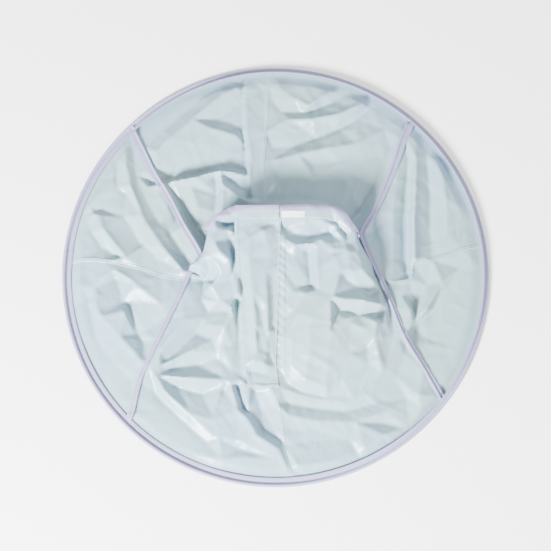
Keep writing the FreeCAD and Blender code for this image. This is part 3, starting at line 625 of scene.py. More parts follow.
def new_piece(name, points, faces, material, sharp=55.0):
    """A smooth mesh object at the origin, from points in millimetres."""
    mesh = bpy.data.meshes.new(name)
    mesh.from_pydata((np.asarray(points) * MM).tolist(), [], [tuple(f) for f in faces])
    mesh.validate()
    mesh.shade_smooth()
    mesh.set_sharp_from_angle(angle=math.radians(sharp))
    mesh.materials.append(material)
    piece = bpy.data.objects.new(name, mesh)
    bpy.context.scene.collection.objects.link(piece)
    return piece


def sheet_piece(name, points, faces, thickness, material):
    """A piece made of one sheet, given its thickness."""
    both, all_faces = thickened(points, faces, thickness)
    return new_piece(name, both, all_faces, material)


def sideways(line):
    """Unit vectors to the left of each point of a flat line."""
    step = np.gradient(np.asarray(line, float), axis=0)
    step /= np.maximum(np.linalg.norm(step, axis=1), 1e-9)[:, None]
    return np.stack([-step[:, 1], step[:, 0]], axis=1)


def band(line, offsets, lifts, height):
    """A strip laid along a flat line, at the given offsets to its left and lifts over the cloth."""
    left = sideways(line)
    xy = np.vstack([line + left * offset for offset in offsets])
    z = np.concatenate([height(line + left * offset) + lift for offset, lift in zip(offsets, lifts)])
    points = np.column_stack([xy, z])
    faces = strip_grid(len(offsets), len(line))
    if point_normals(points, faces)[:, 2].mean() < 0:
        faces = faces[:, ::-1]
    return points, faces


def swept(path, profiles, ups, closed=False):
    """A closed tube with a profile at each point of a path: rows of (across, up) pairs."""
    path = np.asarray(path, float)
    if closed:
        along = np.roll(path, -1, axis=0) - np.roll(path, 1, axis=0)
    else:
        along = np.gradient(path, axis=0)
    along /= np.linalg.norm(along, axis=1)[:, None]
    ups = np.asarray(ups, float)
    ups = ups - (ups * along).sum(axis=1)[:, None] * along
    ups /= np.linalg.norm(ups, axis=1)[:, None]
    across = np.cross(along, ups)
    points = np.vstack([p + np.outer(profile[:, 0], a) + np.outer(profile[:, 1], u)
                        for p, profile, a, u in zip(path, profiles, across, ups)])
    size = len(profiles[0])
    count = len(path)
    faces = []
    for i in range(count if closed else count - 1):
        here, there = i * size, ((i + 1) % count) * size
        for j in range(size):
            k = (j + 1) % size
            faces.append((here + j, here + k, there + k, there + j))
    if not closed:
        faces.append(tuple(range(size - 1, -1, -1)))
        faces.append(tuple(range((count - 1) * size, count * size)))
    return points, faced_outwards(points, faces)


def rolled_tape(radius, width, droop=0.0, thickness=0.7):
    """Profile of a binding: a roll round the wire, and two plies that lie flat beside it."""
    angles = np.radians(np.linspace(30, 320, 13))
    roll = np.stack([radius * np.cos(angles), radius * np.sin(angles)], axis=1)
    tip = radius + width
    drop = -droop * width
    upper = [(tip, drop - 0.35 * radius + thickness), (tip - 0.6, drop - 0.3 * radius + 1.25 * thickness),
             (radius + 0.6 * width, 0.6 * drop - 0.3 * radius + 0.95 * thickness),
             (radius + 0.55, 0.1 * drop - 0.5 * radius + thickness)]
    lower = [(radius + 0.4, 0.1 * drop - 0.62 * radius), (tip, drop - 0.5 * radius)]
    return np.array(upper + roll.tolist() + lower)


def folded_tape(front, back, fold, thickness):
    """Profile of a binding folded over an edge: front ply, fold and back ply, as one closed outline."""
    outer = fold / 2 + thickness
    inner = fold / 2
    bend = np.radians(np.linspace(90, 270, 7))
    outside = [(front, outer)] + [(outer * np.cos(a), outer * np.sin(a)) for a in bend] + [(back, -outer)]
    inside = [(back, -inner)] + [(inner * np.cos(a), inner * np.sin(a)) for a in bend[::-1]]
    return np.array(outside + inside + [(front, inner)])


def new_material(name):
    """An empty node material, with its nodes, its links and its output."""
    material = bpy.data.materials.new(name)
    material.use_nodes = True
    nodes = material.node_tree.nodes
    nodes.clear()
    return material, nodes, material.node_tree.links, nodes.new("ShaderNodeOutputMaterial")


def cloth_material(name, colour, shade, through, roughness=0.32):
    """Coated cloth: two drifting tints, soft gloss, fine weave and crinkle, and light from behind."""
    material, nodes, links, out = new_material(name)
    mix = nodes.new("ShaderNodeMixShader")
    mix.inputs[0].default_value = through
    face = nodes.new("ShaderNodeBsdfPrincipled")
    face.inputs["Roughness"].default_value = roughness
    face.inputs["Specular IOR Level"].default_value = 0.5
    face.inputs["Coat Weight"].default_value = 0.12
    face.inputs["Coat Roughness"].default_value = 0.3
    behind = nodes.new("ShaderNodeBsdfTranslucent")
    place = nodes.new("ShaderNodeTexCoord")
    drift = nodes.new("ShaderNodeTexNoise")
    drift.inputs["Scale"].default_value = 5.5
    drift.inputs["Detail"].default_value = 2.0
    ramp = nodes.new("ShaderNodeMapRange")
    ramp.inputs["From Min"].default_value = 0.36
    ramp.inputs["From Max"].default_value = 0.64
    tint = nodes.new("ShaderNodeMix")
    tint.data_type = "RGBA"
    tint.inputs["A"].default_value = (*colour, 1)
    tint.inputs["B"].default_value = (*shade, 1)
    crinkle = nodes.new("ShaderNodeTexNoise")
    crinkle.inputs["Scale"].default_value = 58.0
    crinkle.inputs["Detail"].default_value = 3.0
    crinkle.inputs["Distortion"].default_value = 1.4
    weave_x = nodes.new("ShaderNodeTexWave")
    weave_y = nodes.new("ShaderNodeTexWave")
    for weave, axis in ((weave_x, "X"), (weave_y, "Y")):
        weave.bands_direction = axis
        weave.inputs["Scale"].default_value = 420.0
    weave = nodes.new("ShaderNodeMath")
    weave.operation = "ADD"
    fine = nodes.new("ShaderNodeBump")
    fine.inputs["Strength"].default_value = 0.12
    fine.inputs["Distance"].default_value = 0.00015
    coarse = nodes.new("ShaderNodeBump")
    coarse.inputs["Strength"].default_value = 0.35
    coarse.inputs["Distance"].default_value = 0.0012
    for texture in (drift, crinkle, weave_x, weave_y):
        links.new(place.outputs["Object"], texture.inputs["Vector"])
    links.new(drift.outputs[0], ramp.inputs["Value"])
    links.new(ramp.outputs[0], tint.inputs["Factor"])
    links.new(weave_x.outputs["Fac"], weave.inputs[0])
    links.new(weave_y.outputs["Fac"], weave.inputs[1])
    links.new(weave.outputs[0], fine.inputs["Height"])
    links.new(crinkle.outputs[0], coarse.inputs["Height"])
    links.new(fine.outputs[0], coarse.inputs["Normal"])
    links.new(coarse.outputs[0], face.inputs["Normal"])
    links.new(tint.outputs["Result"], face.inputs["Base Color"])
    links.new(tint.outputs["Result"], behind.inputs["Color"])
    links.new(face.outputs[0], mix.inputs[1])
    links.new(behind.outputs[0], mix.inputs[2])
    links.new(mix.outputs[0], out.inputs["Surface"])
    return material


def woven_material(name, colour, scale, depth, roughness=0.72):
    """Woven tape, thread or fuzzy strip: fine ribs and a slight unevenness of colour."""
    material, nodes, links, out = new_material(name)
    face = nodes.new("ShaderNodeBsdfPrincipled")
    face.inputs["Roughness"].default_value = roughness
    face.inputs["Sheen Weight"].default_value = 0.25
    face.inputs["Sheen Roughness"].default_value = 0.4
    place = nodes.new("ShaderNodeTexCoord")
    grain = nodes.new("ShaderNodeTexNoise")
    grain.inputs["Scale"].default_value = scale
    grain.inputs["Detail"].default_value = 2.0
    drift = nodes.new("ShaderNodeTexNoise")
    drift.inputs["Scale"].default_value = 22.0
    tint = nodes.new("ShaderNodeMix")
    tint.data_type = "RGBA"
    tint.inputs["A"].default_value = (*[c * 0.88 for c in colour], 1)
    tint.inputs["B"].default_value = (*[min(1.0, c * 1.10) for c in colour], 1)
    bump = nodes.new("ShaderNodeBump")
    bump.inputs["Strength"].default_value = 0.5
    bump.inputs["Distance"].default_value = depth
    for texture in (grain, drift):
        links.new(place.outputs["Object"], texture.inputs["Vector"])
    links.new(grain.outputs[0], bump.inputs["Height"])
    links.new(drift.outputs[0], tint.inputs["Factor"])
    links.new(tint.outputs["Result"], face.inputs["Base Color"])
    links.new(bump.outputs[0], face.inputs["Normal"])
    links.new(face.outputs[0], out.inputs["Surface"])
    return material


def plain_material(name, colour, metallic, roughness):
    """Steel or plastic with faint drawn marks."""
    material, nodes, links, out = new_material(name)
    face = nodes.new("ShaderNodeBsdfPrincipled")
    face.inputs["Base Color"].default_value = (*colour, 1)
    face.inputs["Metallic"].default_value = metallic
    place = nodes.new("ShaderNodeTexCoord")
    marks = nodes.new("ShaderNodeTexNoise")
    marks.inputs["Scale"].default_value = 160.0
    gloss = nodes.new("ShaderNodeMapRange")
    gloss.inputs["To Min"].default_value = roughness - 0.08
    gloss.inputs["To Max"].default_value = roughness + 0.08
    links.new(place.outputs["Object"], marks.inputs["Vector"])
    links.new(marks.outputs[0], gloss.inputs["Value"])
    links.new(gloss.outputs[0], face.inputs["Roughness"])
    links.new(face.outputs[0], out.inputs["Surface"])
    return material


def finish(kind):
    """The material of that kind, made once."""
    found = bpy.data.materials.get(kind)
    if found:
        return found
    cloth = bpy.context.scene.cape_cloth
    tape = bpy.context.scene.cape_binding
    makers = {
        "Coated cloth": lambda: cloth_material(kind, cloth.colour, cloth.shade_colour, 0.30),
        "Binding tape": lambda: woven_material(kind, tape.colour, 900.0, 0.0002),
        "White thread": lambda: woven_material(kind, (0.78, 0.82, 0.85), 1500.0, 0.00005),
        "Blue thread": lambda: woven_material(kind, (0.42, 0.55, 0.62), 1500.0, 0.00005),
        "Grey thread": lambda: woven_material(kind, (0.13, 0.13, 0.23), 1500.0, 0.00005),
        "Touch fastener": lambda: woven_material(kind, (0.82, 0.84, 0.82), 1300.0, 0.0006, 0.85),
        "Spring steel": lambda: plain_material(kind, (0.55, 0.56, 0.58), 1.0, 0.32),
        "End cap plastic": lambda: plain_material(kind, (0.35, 0.36, 0.42), 0.0, 0.45),
    }
    return makers[kind]()


SMOOTH_EDGES = {"left_seam": LEFT_SEAM, "right_seam": RIGHT_SEAM, "back_seam": BACK_SEAM,
                "front_seam": FRONT_SEAM, "base_left": BASE_LEFT, "base_right": BASE_RIGHT,
                "base_back_left": BASE_BACK_LEFT, "base_back_right": BASE_BACK_RIGHT,
                "mouth_left": MOUTH_LEFT, "mouth_right": MOUTH_RIGHT}
STRAIGHT_EDGES = {"base_slit": BASE_SLIT, "slit": SLIT}
SIDE_EDGES = {"side_left": SIDE_LEFT, "side_right": SIDE_RIGHT}


def boundary_lines(spacing):
    """Every edge that two pieces of cloth share, so that their points meet."""
    lines = {name: curved(flat_line(line), spacing) for name, line in SMOOTH_EDGES.items()}
    lines.update({name: evenly(flat_line(line), spacing) for name, line in STRAIGHT_EDGES.items()})
    lines.update({name: curved(flat_line(line), count=SIDE_STEPS) for name, line in SIDE_EDGES.items()})
    return lines


SIDE_STEPS = 36
SIDE_CURL = 6.0
CLOTH_EDGE = 320.5


def curl(xy, side):
    """How far the sleeve's front turns down near a side, where it folds under to become its back."""
    start = side[0]
    radius = np.minimum(SIDE_CURL, 0.22 * np.linalg.norm(xy - start, axis=1))
    depth = np.clip(radius - distance_to(xy, side), 0, None)
    return radius - np.sqrt(np.maximum(radius ** 2 - depth ** 2, 0))


def front_height(sleeve, side):
    """The height of the sleeve's front, turned down near one side."""
    def height(xy):
        return sleeve(xy) - curl(xy, side)
    return height


def side_points(side, height):
    """The sleeve's folded side edge, with its heights."""
    return np.column_stack([side, height(side) - curl(side, side)])


class CAPE_OT_gores(Operator):
    """Cut and lay the four cloth gores between the hoop and the neck sleeve"""
    bl_idname = "cape.gores"
    bl_label = "Gores"

    def execute(self, context):
        cloth = context.scene.cape_cloth
        spacing = cloth.mesh_spacing / MM
        gores, _, _ = current_reliefs(context)
        lines = boundary_lines(spacing)
        ends = {key: bearing(lines[key][end]) for key, end in
                (("left_seam", 0), ("right_seam", -1), ("back_seam", 0), ("front_seam", -1))}
        left = ends["left_seam"]

        def arc(start, end):
            return rim_arc(start, end, CLOTH_EDGE, spacing)

        def joined(line, at_rim):
            """The seam with its rim end moved to the cloth's edge."""
            line = line.copy()
            line[at_rim] *= CLOTH_EDGE / np.linalg.norm(line[at_rim])
            return line

        left_seam, right_seam = joined(lines["left_seam"], 0), joined(lines["right_seam"], -1)
        back_seam, front_seam = joined(lines["back_seam"], 0), joined(lines["front_seam"], -1)
        base_right = np.vstack([lines["base_slit"][:-1], lines["base_right"]])
        pieces = {
            "Gore_back_left": (chain(left_seam, lines["base_back_left"], back_seam[::-1],
                                     arc(ends["back_seam"], left)), "gore_back_left"),
            "Gore_back_right": (chain(back_seam, lines["base_back_right"], right_seam,
                                      arc(ends["right_seam"], ends["back_seam"])), "gore_back_right"),
            "Gore_front_right": (chain(front_seam, arc(ends["front_seam"], ends["right_seam"]),
                                       right_seam[::-1], base_right[::-1]), "gore_front_right"),
            "Gore_front_left": (chain(left_seam, lines["base_left"], front_seam,
                                      arc(ends["front_seam"], left - 360)), "gore_front_left"),
        }
        for name, (outline, node) in pieces.items():
            xy, faces = filled(outline, spacing)
            points = np.column_stack([xy, gores(xy)])
            piece = sheet_piece(name, points, faces, cloth.thickness / MM, finish("Coated cloth"))
            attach(piece, "cape")
            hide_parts(node)
        return {"FINISHED"}


class CAPE_OT_seams(Operator):
    """Sew the felled seams between the gores"""
    bl_idname = "cape.seams"
    bl_label = "Seams"

    def execute(self, context):
        gores, _, _ = current_reliefs(context)
        cloth = context.scene.cape_cloth
        lines = boundary_lines(cloth.mesh_spacing / MM)
        seams = {
            "Seam_left": (lines["left_seam"], "seam_left"),
            "Seam_right": (lines["right_seam"], "seam_right"),
            "Seam_back": (lines["back_seam"][:-8], "seam_back"),
            "Seam_front": (lines["front_seam"], "seam_front"),
        }
        offsets = [-3.2, -2.6, -1.0, 0.0, 1.0, 2.6, 3.2]
        lifts = [0.05, 0.4, 0.55, 0.15, 0.55, 0.4, 0.05]
        for name, (line, node) in seams.items():
            points, faces = band(line, offsets, lifts, gores)
            piece = sheet_piece(name, points, faces, 0.5, finish("Coated cloth"))
            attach(piece, "cape")
            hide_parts(node)
        return {"FINISHED"}


class CAPE_OT_rim_binding(Operator):
    """Fold the tape over the hoop wire, with its lapped end"""
    bl_idname = "cape.rim_binding"
    bl_label = "Rim binding"

    def execute(self, context):
        tape = context.scene.cape_binding
        radius = tape.roll_radius / MM
        ring = RIM_EDGE - radius
        count = 420
        angles = np.linspace(0, 2 * math.pi, count, endpoint=False)
        path = np.column_stack([ring * np.cos(angles), ring * np.sin(angles), np.full(count, radius)])
        lean = np.radians([rim_lean(math.degrees(a)) for a in angles])
        inwards = -np.column_stack([np.cos(angles), np.sin(angles), np.zeros(count)])
        ups = np.cos(lean)[:, None] * np.array([0, 0, 1.0]) - np.sin(lean)[:, None] * inwards
        profile = rolled_tape(radius, tape.rim_width / MM)
        # along the hoop, across points outwards, so the flange is mirrored to lie inside
        profiles = [profile * (-1, 1)] * count
        points, faces = swept(path, profiles, ups, closed=True)
        points[:, 2] = np.maximum(points[:, 2], LOWEST_TAPE)
        piece = new_piece("Rim_binding", points, faces, finish("Binding tape"),
                          sharp=TAPE_SHARP)
        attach(piece, "cape")
        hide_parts("rim_binding")

        middle = math.radians(177)
        lap = np.linspace(middle - 0.045, middle + 0.045, 24)
        path = np.column_stack([ring * np.cos(lap), ring * np.sin(lap), np.full(24, radius)])
        wider = rolled_tape(radius + 0.35, tape.rim_width / MM + 0.4, thickness=1.2) * (-1, 1)
        points, faces = swept(path, [wider] * 24, np.tile([0, 0, 1.0], (24, 1)))
        points[:, 2] = np.maximum(points[:, 2], LOWEST_TAPE)
        piece = new_piece("Rim_binding_lap", points, faces, finish("Binding tape"),
                          sharp=TAPE_SHARP)
        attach(piece, "cape")
        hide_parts("rim_binding_lap")
        return {"FINISHED"}


def rim_lean(degrees):
    """Degrees by which the rim's flange stands up, which is most along the back and the right."""
    centre = 35.0
    away = abs((degrees - centre + 180) % 360 - 180)
    share = 0.5 - 0.5 * math.tanh((away - 95) / 22)
    wobble = 6 * noise.noise(Vector((3 * math.cos(math.radians(degrees)),
                                     3 * math.sin(math.radians(degrees)), 2.0)))
    return 4 + 52 * share + wobble


class CAPE_OT_ribs(Operator):
    """Lay the two bent ribs over the cloth, each a taped wire with end caps and bar tacks"""
    bl_idname = "cape.ribs"
    bl_label = "Ribs"

    def execute(self, context):
        tape = context.scene.cape_binding
        gores, _, _ = current_reliefs(context)
        width = tape.rib_width / MM
        tack_points, tack_faces, cap_points, cap_faces = [], [], [], []
        for side, drawn, turn in (("left", RIB_LEFT, -1), ("right", RIB_RIGHT, 1)):
            path = curved(on_cape(drawn), 3.0)
            radius = 2.2
            path[:, 2] = np.maximum(path[:, 2], gores(path[:, :2]) + 0.8 * radius)
            share = np.linspace(0, 1, len(path))
            top_end = np.exp(-(share / 0.16) ** 2)
            low_end = np.exp(-((1 - share) / 0.10) ** 2)
            upper = 1 / (1 + np.exp((share - 0.50) / 0.03))
            widths = width * (0.40 + 0.35 * upper + 0.45 * top_end + 0.30 * low_end)
            rolls = radius * (1 - 0.25 * top_end)
            profiles = [rolled_tape(r, w, droop=0.05) * (-turn, 1) for r, w in zip(rolls, widths)]
            ups = np.tile([0, 0, 1.0], (len(path), 1))
            points, faces = swept(path, profiles, ups)
            piece = new_piece(f"Rib_binding_{side}", points, faces, finish("Binding tape"),
                              sharp=TAPE_SHARP)
            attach(piece, "cape")
            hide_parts(f"rib_binding_{side}", f"rib_wire_{side}")
            for end, step in ((0, 1), (-1, -1)):
                along = path[end + 3 * step] - path[end]
                along /= np.linalg.norm(along)
                across = np.cross(along, (0, 0, 1.0))
                across /= np.linalg.norm(across)
                cap = [path[end] - along * 0.5 + np.array([0, 0, 0.2]) + along * k
                       for k in (0, 2.2, 4.4, 6.0)]
                turns = np.linspace(0, 2 * math.pi, 12, endpoint=False)
                round_profile = np.column_stack([np.cos(turns), np.sin(turns)])
                sizes = (1.2, 2.25, 2.25, 1.2)
                add_part(cap_points, cap_faces, *swept(cap, [round_profile * s for s in sizes],
                                                       np.tile([0, 0, 1.0], (4, 1))))
                for row in (8.0, 10.5):
                    zigzag = [path[end] + along * (row + 0.9 * (k % 2)) + across * (k - 4) * 1.1
                              + np.array([0, 0, 1.7]) for k in range(9)]
                    add_part(tack_points, tack_faces,
                             *swept(zigzag, [round_profile[::2] * 0.3] * 9, np.tile([0, 0, 1.0], (9, 1))))
        caps = new_piece("Rib_end_caps", np.vstack(cap_points), cap_faces, finish("End cap plastic"))
        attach(caps, "cape")
        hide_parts("rib_end_caps")
        tacks = new_piece("Rib_bar_tacks", np.vstack(tack_points), tack_faces, finish("Grey thread"))
        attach(tacks, "cape")
        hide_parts("rib_bar_tacks")
        return {"FINISHED"}


def add_part(all_points, all_faces, points, faces):
    """Adds one closed part to a piece made of several."""
    shift = sum(len(part) for part in all_points)
    all_points.append(np.asarray(points))
    all_faces += [tuple(i + shift for i in face) for face in faces]


class CAPE_OT_neck_sleeve(Operator):
    """Lay the flattened neck sleeve: two front halves that meet under the flap, and the back"""
    bl_idname = "cape.neck_sleeve"
    bl_label = "Neck sleeve"

    def execute(self, context):
        cloth = context.scene.cape_cloth
        spacing = cloth.mesh_spacing / MM
        gores, sleeve, _ = current_reliefs(context)
        lines = boundary_lines(spacing)
        halves = {
            "Neck_sleeve_left": (chain(lines["base_left"], lines["base_slit"], lines["slit"],
                                       lines["mouth_left"][::-1], lines["side_left"][::-1]), "side_left",
                                 "neck_sleeve_left", (0.135, 0.30), 0.030),
            "Neck_sleeve_right": (chain(lines["base_right"], lines["side_right"],
                                        lines["mouth_right"][::-1], lines["slit"][::-1]), "side_right",
                                  "neck_sleeve_right", (0.18, 0.30), 0.044),
        }
        base = np.vstack([lines["base_left"], lines["base_slit"], lines["base_right"]])
        for name, (outline, side, node, flat, area) in halves.items():
            xy, faces = filled(outline, spacing)
            z = sleeve(xy) - curl(xy, lines[side])
            at_base = distance_to(xy, base) < 0.01
            z[at_base] = gores(xy[at_base])
            points = np.column_stack([xy, z])
            piece = sheet_piece(name, points, faces, cloth.thickness / MM, finish("Coated cloth"))
            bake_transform(piece)
            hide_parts(node)

        base_back = np.vstack([lines["base_back_left"][:-1], lines["base_back_right"]])
        columns = len(base_back)
        left, right = side_points(lines["side_left"], sleeve), side_points(lines["side_right"], sleeve)
        near = np.column_stack([base_back, gores(base_back)])
        near[0], near[-1] = left[0], right[0]
        far = curved(on_cape(MOUTH_BACK), count=columns - 1)
        far[0], far[-1] = left[-1], right[-1]
        t = np.linspace(0, 1, columns)[None, :, None]
        s = np.linspace(0, 1, SIDE_STEPS + 1)[:, None, None]
        patch = ((1 - s) * near[None] + s * far[None] + (1 - t) * left[:, None] + t * right[:, None]
                 - (1 - s) * (1 - t) * near[0] - (1 - s) * t * near[-1]
                 - s * (1 - t) * far[0] - s * t * far[-1])
        points = patch.reshape(-1, 3)
        inner = np.ones((SIDE_STEPS + 1, columns), bool)
        inner[0] = inner[-1] = False
        inner[:, 0] = inner[:, -1] = False
        inner = inner.ravel()
        floor = gores(points[:, :2]) + 1.4
        points[inner, 2] = np.maximum(points[inner, 2], floor[inner])
        faces = strip_grid(SIDE_STEPS + 1, columns)
        if point_normals(points, faces)[:, 2].mean() < 0:
            faces = faces[:, ::-1]
        piece = sheet_piece("Neck_sleeve_back", points, faces, cloth.thickness / MM, finish("Coated cloth"))
        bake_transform(piece)

        under = evenly(flat_line([(-8, -160, 0), (-8, 70, 0)]), spacing)
        points, faces = band(under, np.linspace(-22, 16, 9), [0.9] * 9, sleeve)
        piece = sheet_piece("Placket_underlap", points, faces, 0.45, finish("Coated cloth"))
        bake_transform(piece)
        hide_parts("placket_underlap")
        return {"FINISHED"}


class CAPE_OT_collar(Operator):
    """Fold the collar band and its binding round the sleeve's mouth, with both fastener strips"""
    bl_idname = "cape.collar"
    bl_label = "Collar"

    def execute(self, context):
        cloth = context.scene.cape_cloth
        _, sleeve, _ = current_reliefs(context)
        lines = boundary_lines(cloth.mesh_spacing / MM)
        heights = {side: front_height(sleeve, lines[f"side_{side}"]) for side in ("left", "right")}
        for side, height in heights.items():
            offsets = -np.array([0.4, 3, 8, 13, 16.5, 18, 18.8])
            lifts = np.array([0.6, 0.8, 0.9, 0.95, 0.9, 0.6, 0.1])
            points, faces = band(lines[f"mouth_{side}"], offsets, lifts, height)
            piece = sheet_piece(f"Collar_band_{side}", points, faces, 0.6, finish("Coated cloth"))
            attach(piece, "neck")
            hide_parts(f"collar_band_{side}")

        front_left, front_right = (np.column_stack([lines[f"mouth_{side}"], height(lines[f"mouth_{side}"])])
                                   for side, height in heights.items())
        back = curved(on_cape(MOUTH_BACK), 3.0)
        middle = len(back) // 2
        back[0], back[-1] = front_left[0], front_right[-1]
        paths = {"left": np.vstack([back[middle:0:-1], front_left]),
                 "right": np.vstack([front_right, back[-2:middle - 1:-1]])}
        for side, path in paths.items():
            count = len(path)
            ups = collar_ups(path)
            profile = folded_tape(3.0, 7.0, 2.4, 0.45)
            all_points, all_faces = [], []
            add_part(all_points, all_faces, *swept(path, [profile] * count, ups))
            add_part(all_points, all_faces, *top_ply(lines[f"mouth_{side}"], heights[side], 1.75))
            piece = new_piece(f"Collar_binding_{side}", np.vstack(all_points), all_faces,
                              finish("Binding tape"), sharp=TAPE_SHARP)
            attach(piece, "neck")
            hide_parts(f"collar_binding_{side}")

        loop = evenly(flat_line([(9, 85, 53), (44, 85, 53)]), 0.9)
        piece = fuzzy_strip("Loop_strip", loop, 4.6, 1.5, sleeve, 2)
        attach(piece, "neck")
        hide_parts("loop_strip")
        hook = evenly(flat_line([(-36, 85, 55), (-6, 85, 55)]), 0.9)
        piece = fuzzy_strip("Hook_strip", hook, 4.6, 0.95, sleeve, 4)
        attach(piece, "neck")
        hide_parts("hook_strip")
        return {"FINISHED"}


def top_ply(line, height, lift):
    """The binding's front ply, laid over the band along the mouth's edge."""
    offsets = -np.array([-0.6, 0.2, 1.6, 4.5, 7.6, 8.4, 8.7])
    lifts = lift + np.array([-0.7, -0.15, 0.1, 0.05, 0.1, 0.0, -0.5])
    return thickened(*band(line, offsets, lifts, height), 0.45)


def collar_ups(path):
    """Outward directions along the mouth's edge: up at the front, down at the back."""
    along = np.gradient(path, axis=0)
    along /= np.linalg.norm(along, axis=1)[:, None]
    inwards = np.array([0, -0.98, -0.18])
    ups = np.cross(inwards, along)
    for _ in range(3):
        ups[1:-1] = (ups[:-2] + ups[1:-1] + ups[2:]) / 3
    return ups


def fuzzy_strip(name, line, half, lift, height, seed):
    """A strip of touch fastener with a nap of small bumps."""
    rng = np.random.default_rng(seed)
    offsets = np.linspace(-half, half, 12)
    lifts = np.full(12, lift)
    points, faces = band(line, offsets, lifts, height)
    nap = rng.uniform(0, 0.42, len(points))
    points[:, 2] += nap
    return sheet_piece(name, points, faces, 1.0, finish("Touch fastener"))


class CAPE_OT_placket_flap(Operator):
    """Lay the placket flap over the sleeve's slit, with its hem, collar overlap and binding"""
    bl_idname = "cape.placket_flap"
    bl_label = "Placket flap"

    def execute(self, context):
        cloth = context.scene.cape_cloth
        spacing = cloth.mesh_spacing / MM
        _, sleeve, flap = current_reliefs(context)
        left = evenly(flat_line(FLAP_LEFT), spacing)
        right = evenly(flat_line(FLAP_RIGHT), spacing)
        top = evenly([left[-1], right[0]], spacing)
        xy, faces = filled(chain(left, top, right), spacing)
        points = np.column_stack([xy, flap(xy)])
        piece = sheet_piece("Placket_flap", points, faces, cloth.thickness / MM, finish("Coated cloth"))
        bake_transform(piece)
        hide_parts("placket_flap")

        edge = left[12:]
        hem, faces = band(edge, [0.2, -0.6, -3.2, -5.6, -6.2], [0.2, 0.65, 0.7, 0.6, 0.1], flap)
        piece = sheet_piece("Flap_hem", hem, faces, 0.6, finish("Coated cloth"))
        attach(piece, "flap")
        foot = left[:15]
        hem, faces = band(foot, [0.2, -0.6, -3.2, -4.4, -5.0], [0.2, 0.6, 0.65, 0.6, 0.1], flap)
        piece = sheet_piece("Flap_foot", hem, faces, 0.6, finish("Coated cloth"))
        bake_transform(piece)
        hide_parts("placket_bottom_tack")

        collar = evenly(flat_line([(-61, 98, 57.5), (5.0, 98.6, 57.5)]), spacing)
        overlap_line = collar + (0, -0.6)
        points, faces = band(overlap_line, -np.array([0, 4, 9, 14, 17.5, 18.8]),
                             [0.5, 0.7, 0.75, 0.7, 0.5, 0.1], flap)
        piece = sheet_piece("Collar_overlap", points, faces, 0.6, finish("Coated cloth"))
        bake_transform(piece)
        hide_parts("collar_overlap")
        path = np.column_stack([collar, flap(collar) + 0.3])
        all_points, all_faces = [], []
        add_part(all_points, all_faces, *swept(path, [folded_tape(3.0, 3.0, 1.9, 0.45)] * len(path),
                                               collar_ups(path)))
        add_part(all_points, all_faces, *top_ply(collar, flap, 1.5))
        piece = new_piece("Overlap_binding", np.vstack(all_points), all_faces, finish("Binding tape"),
                          sharp=TAPE_SHARP)
        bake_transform(piece)
        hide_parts("overlap_binding")
        return {"FINISHED"}


def stitch_tree():
    """Geometry nodes that sew short stitches along a line."""
    tree = bpy.data.node_groups.new("Stitches", "GeometryNodeTree")
    face = tree.interface
    face.new_socket("Geometry", in_out="INPUT", socket_type="NodeSocketGeometry")
    for label in ("Pitch", "Length", "Radius", "Unevenness"):
        face.new_socket(label, in_out="INPUT", socket_type="NodeSocketFloat")
    face.new_socket("Seed", in_out="INPUT", socket_type="NodeSocketInt")
    face.new_socket("Thread", in_out="INPUT", socket_type="NodeSocketMaterial")
    face.new_socket("Geometry", in_out="OUTPUT", socket_type="NodeSocketGeometry")
    nodes, links = tree.nodes, tree.links
    given = nodes.new("NodeGroupInput")
    result = nodes.new("NodeGroupOutput")
    line = nodes.new("GeometryNodeMeshToCurve")
    steps = nodes.new("GeometryNodeResampleCurve")
    steps.mode = "LENGTH"
    tangent = nodes.new("GeometryNodeInputTangent")
    turn = nodes.new("FunctionNodeAlignRotationToVector")
    turn.axis = "Z"
    stitch = nodes.new("GeometryNodeMeshCylinder")
    stitch.inputs["Vertices"].default_value = 6
    sizes = nodes.new("FunctionNodeRandomValue")
    sizes.data_type = "FLOAT"
    low = nodes.new("ShaderNodeMath")
    low.operation = "SUBTRACT"
    low.inputs[0].default_value = 1.0
    place = nodes.new("GeometryNodeInstanceOnPoints")
    real = nodes.new("GeometryNodeRealizeInstances")
    paint = nodes.new("GeometryNodeSetMaterial")
    links.new(given.outputs["Geometry"], line.inputs["Mesh"])
    links.new(line.outputs["Curve"], steps.inputs["Curve"])
    links.new(given.outputs["Pitch"], steps.inputs["Length"])
    links.new(given.outputs["Length"], stitch.inputs["Depth"])
    links.new(given.outputs["Radius"], stitch.inputs["Radius"])
    links.new(given.outputs["Unevenness"], low.inputs[1])
    links.new(low.outputs[0], sizes.inputs[2])
    links.new(given.outputs["Seed"], sizes.inputs["Seed"])
    links.new(tangent.outputs[0], turn.inputs["Vector"])
    links.new(steps.outputs["Curve"], place.inputs["Points"])
    links.new(stitch.outputs["Mesh"], place.inputs["Instance"])
    links.new(turn.outputs[0], place.inputs["Rotation"])
    links.new(sizes.outputs[1], place.inputs["Scale"])
    links.new(place.outputs["Instances"], real.inputs["Geometry"])
    links.new(real.outputs["Geometry"], paint.inputs["Geometry"])
    links.new(given.outputs["Thread"], paint.inputs["Material"])
    links.new(paint.outputs["Geometry"], result.inputs["Geometry"])
    return tree


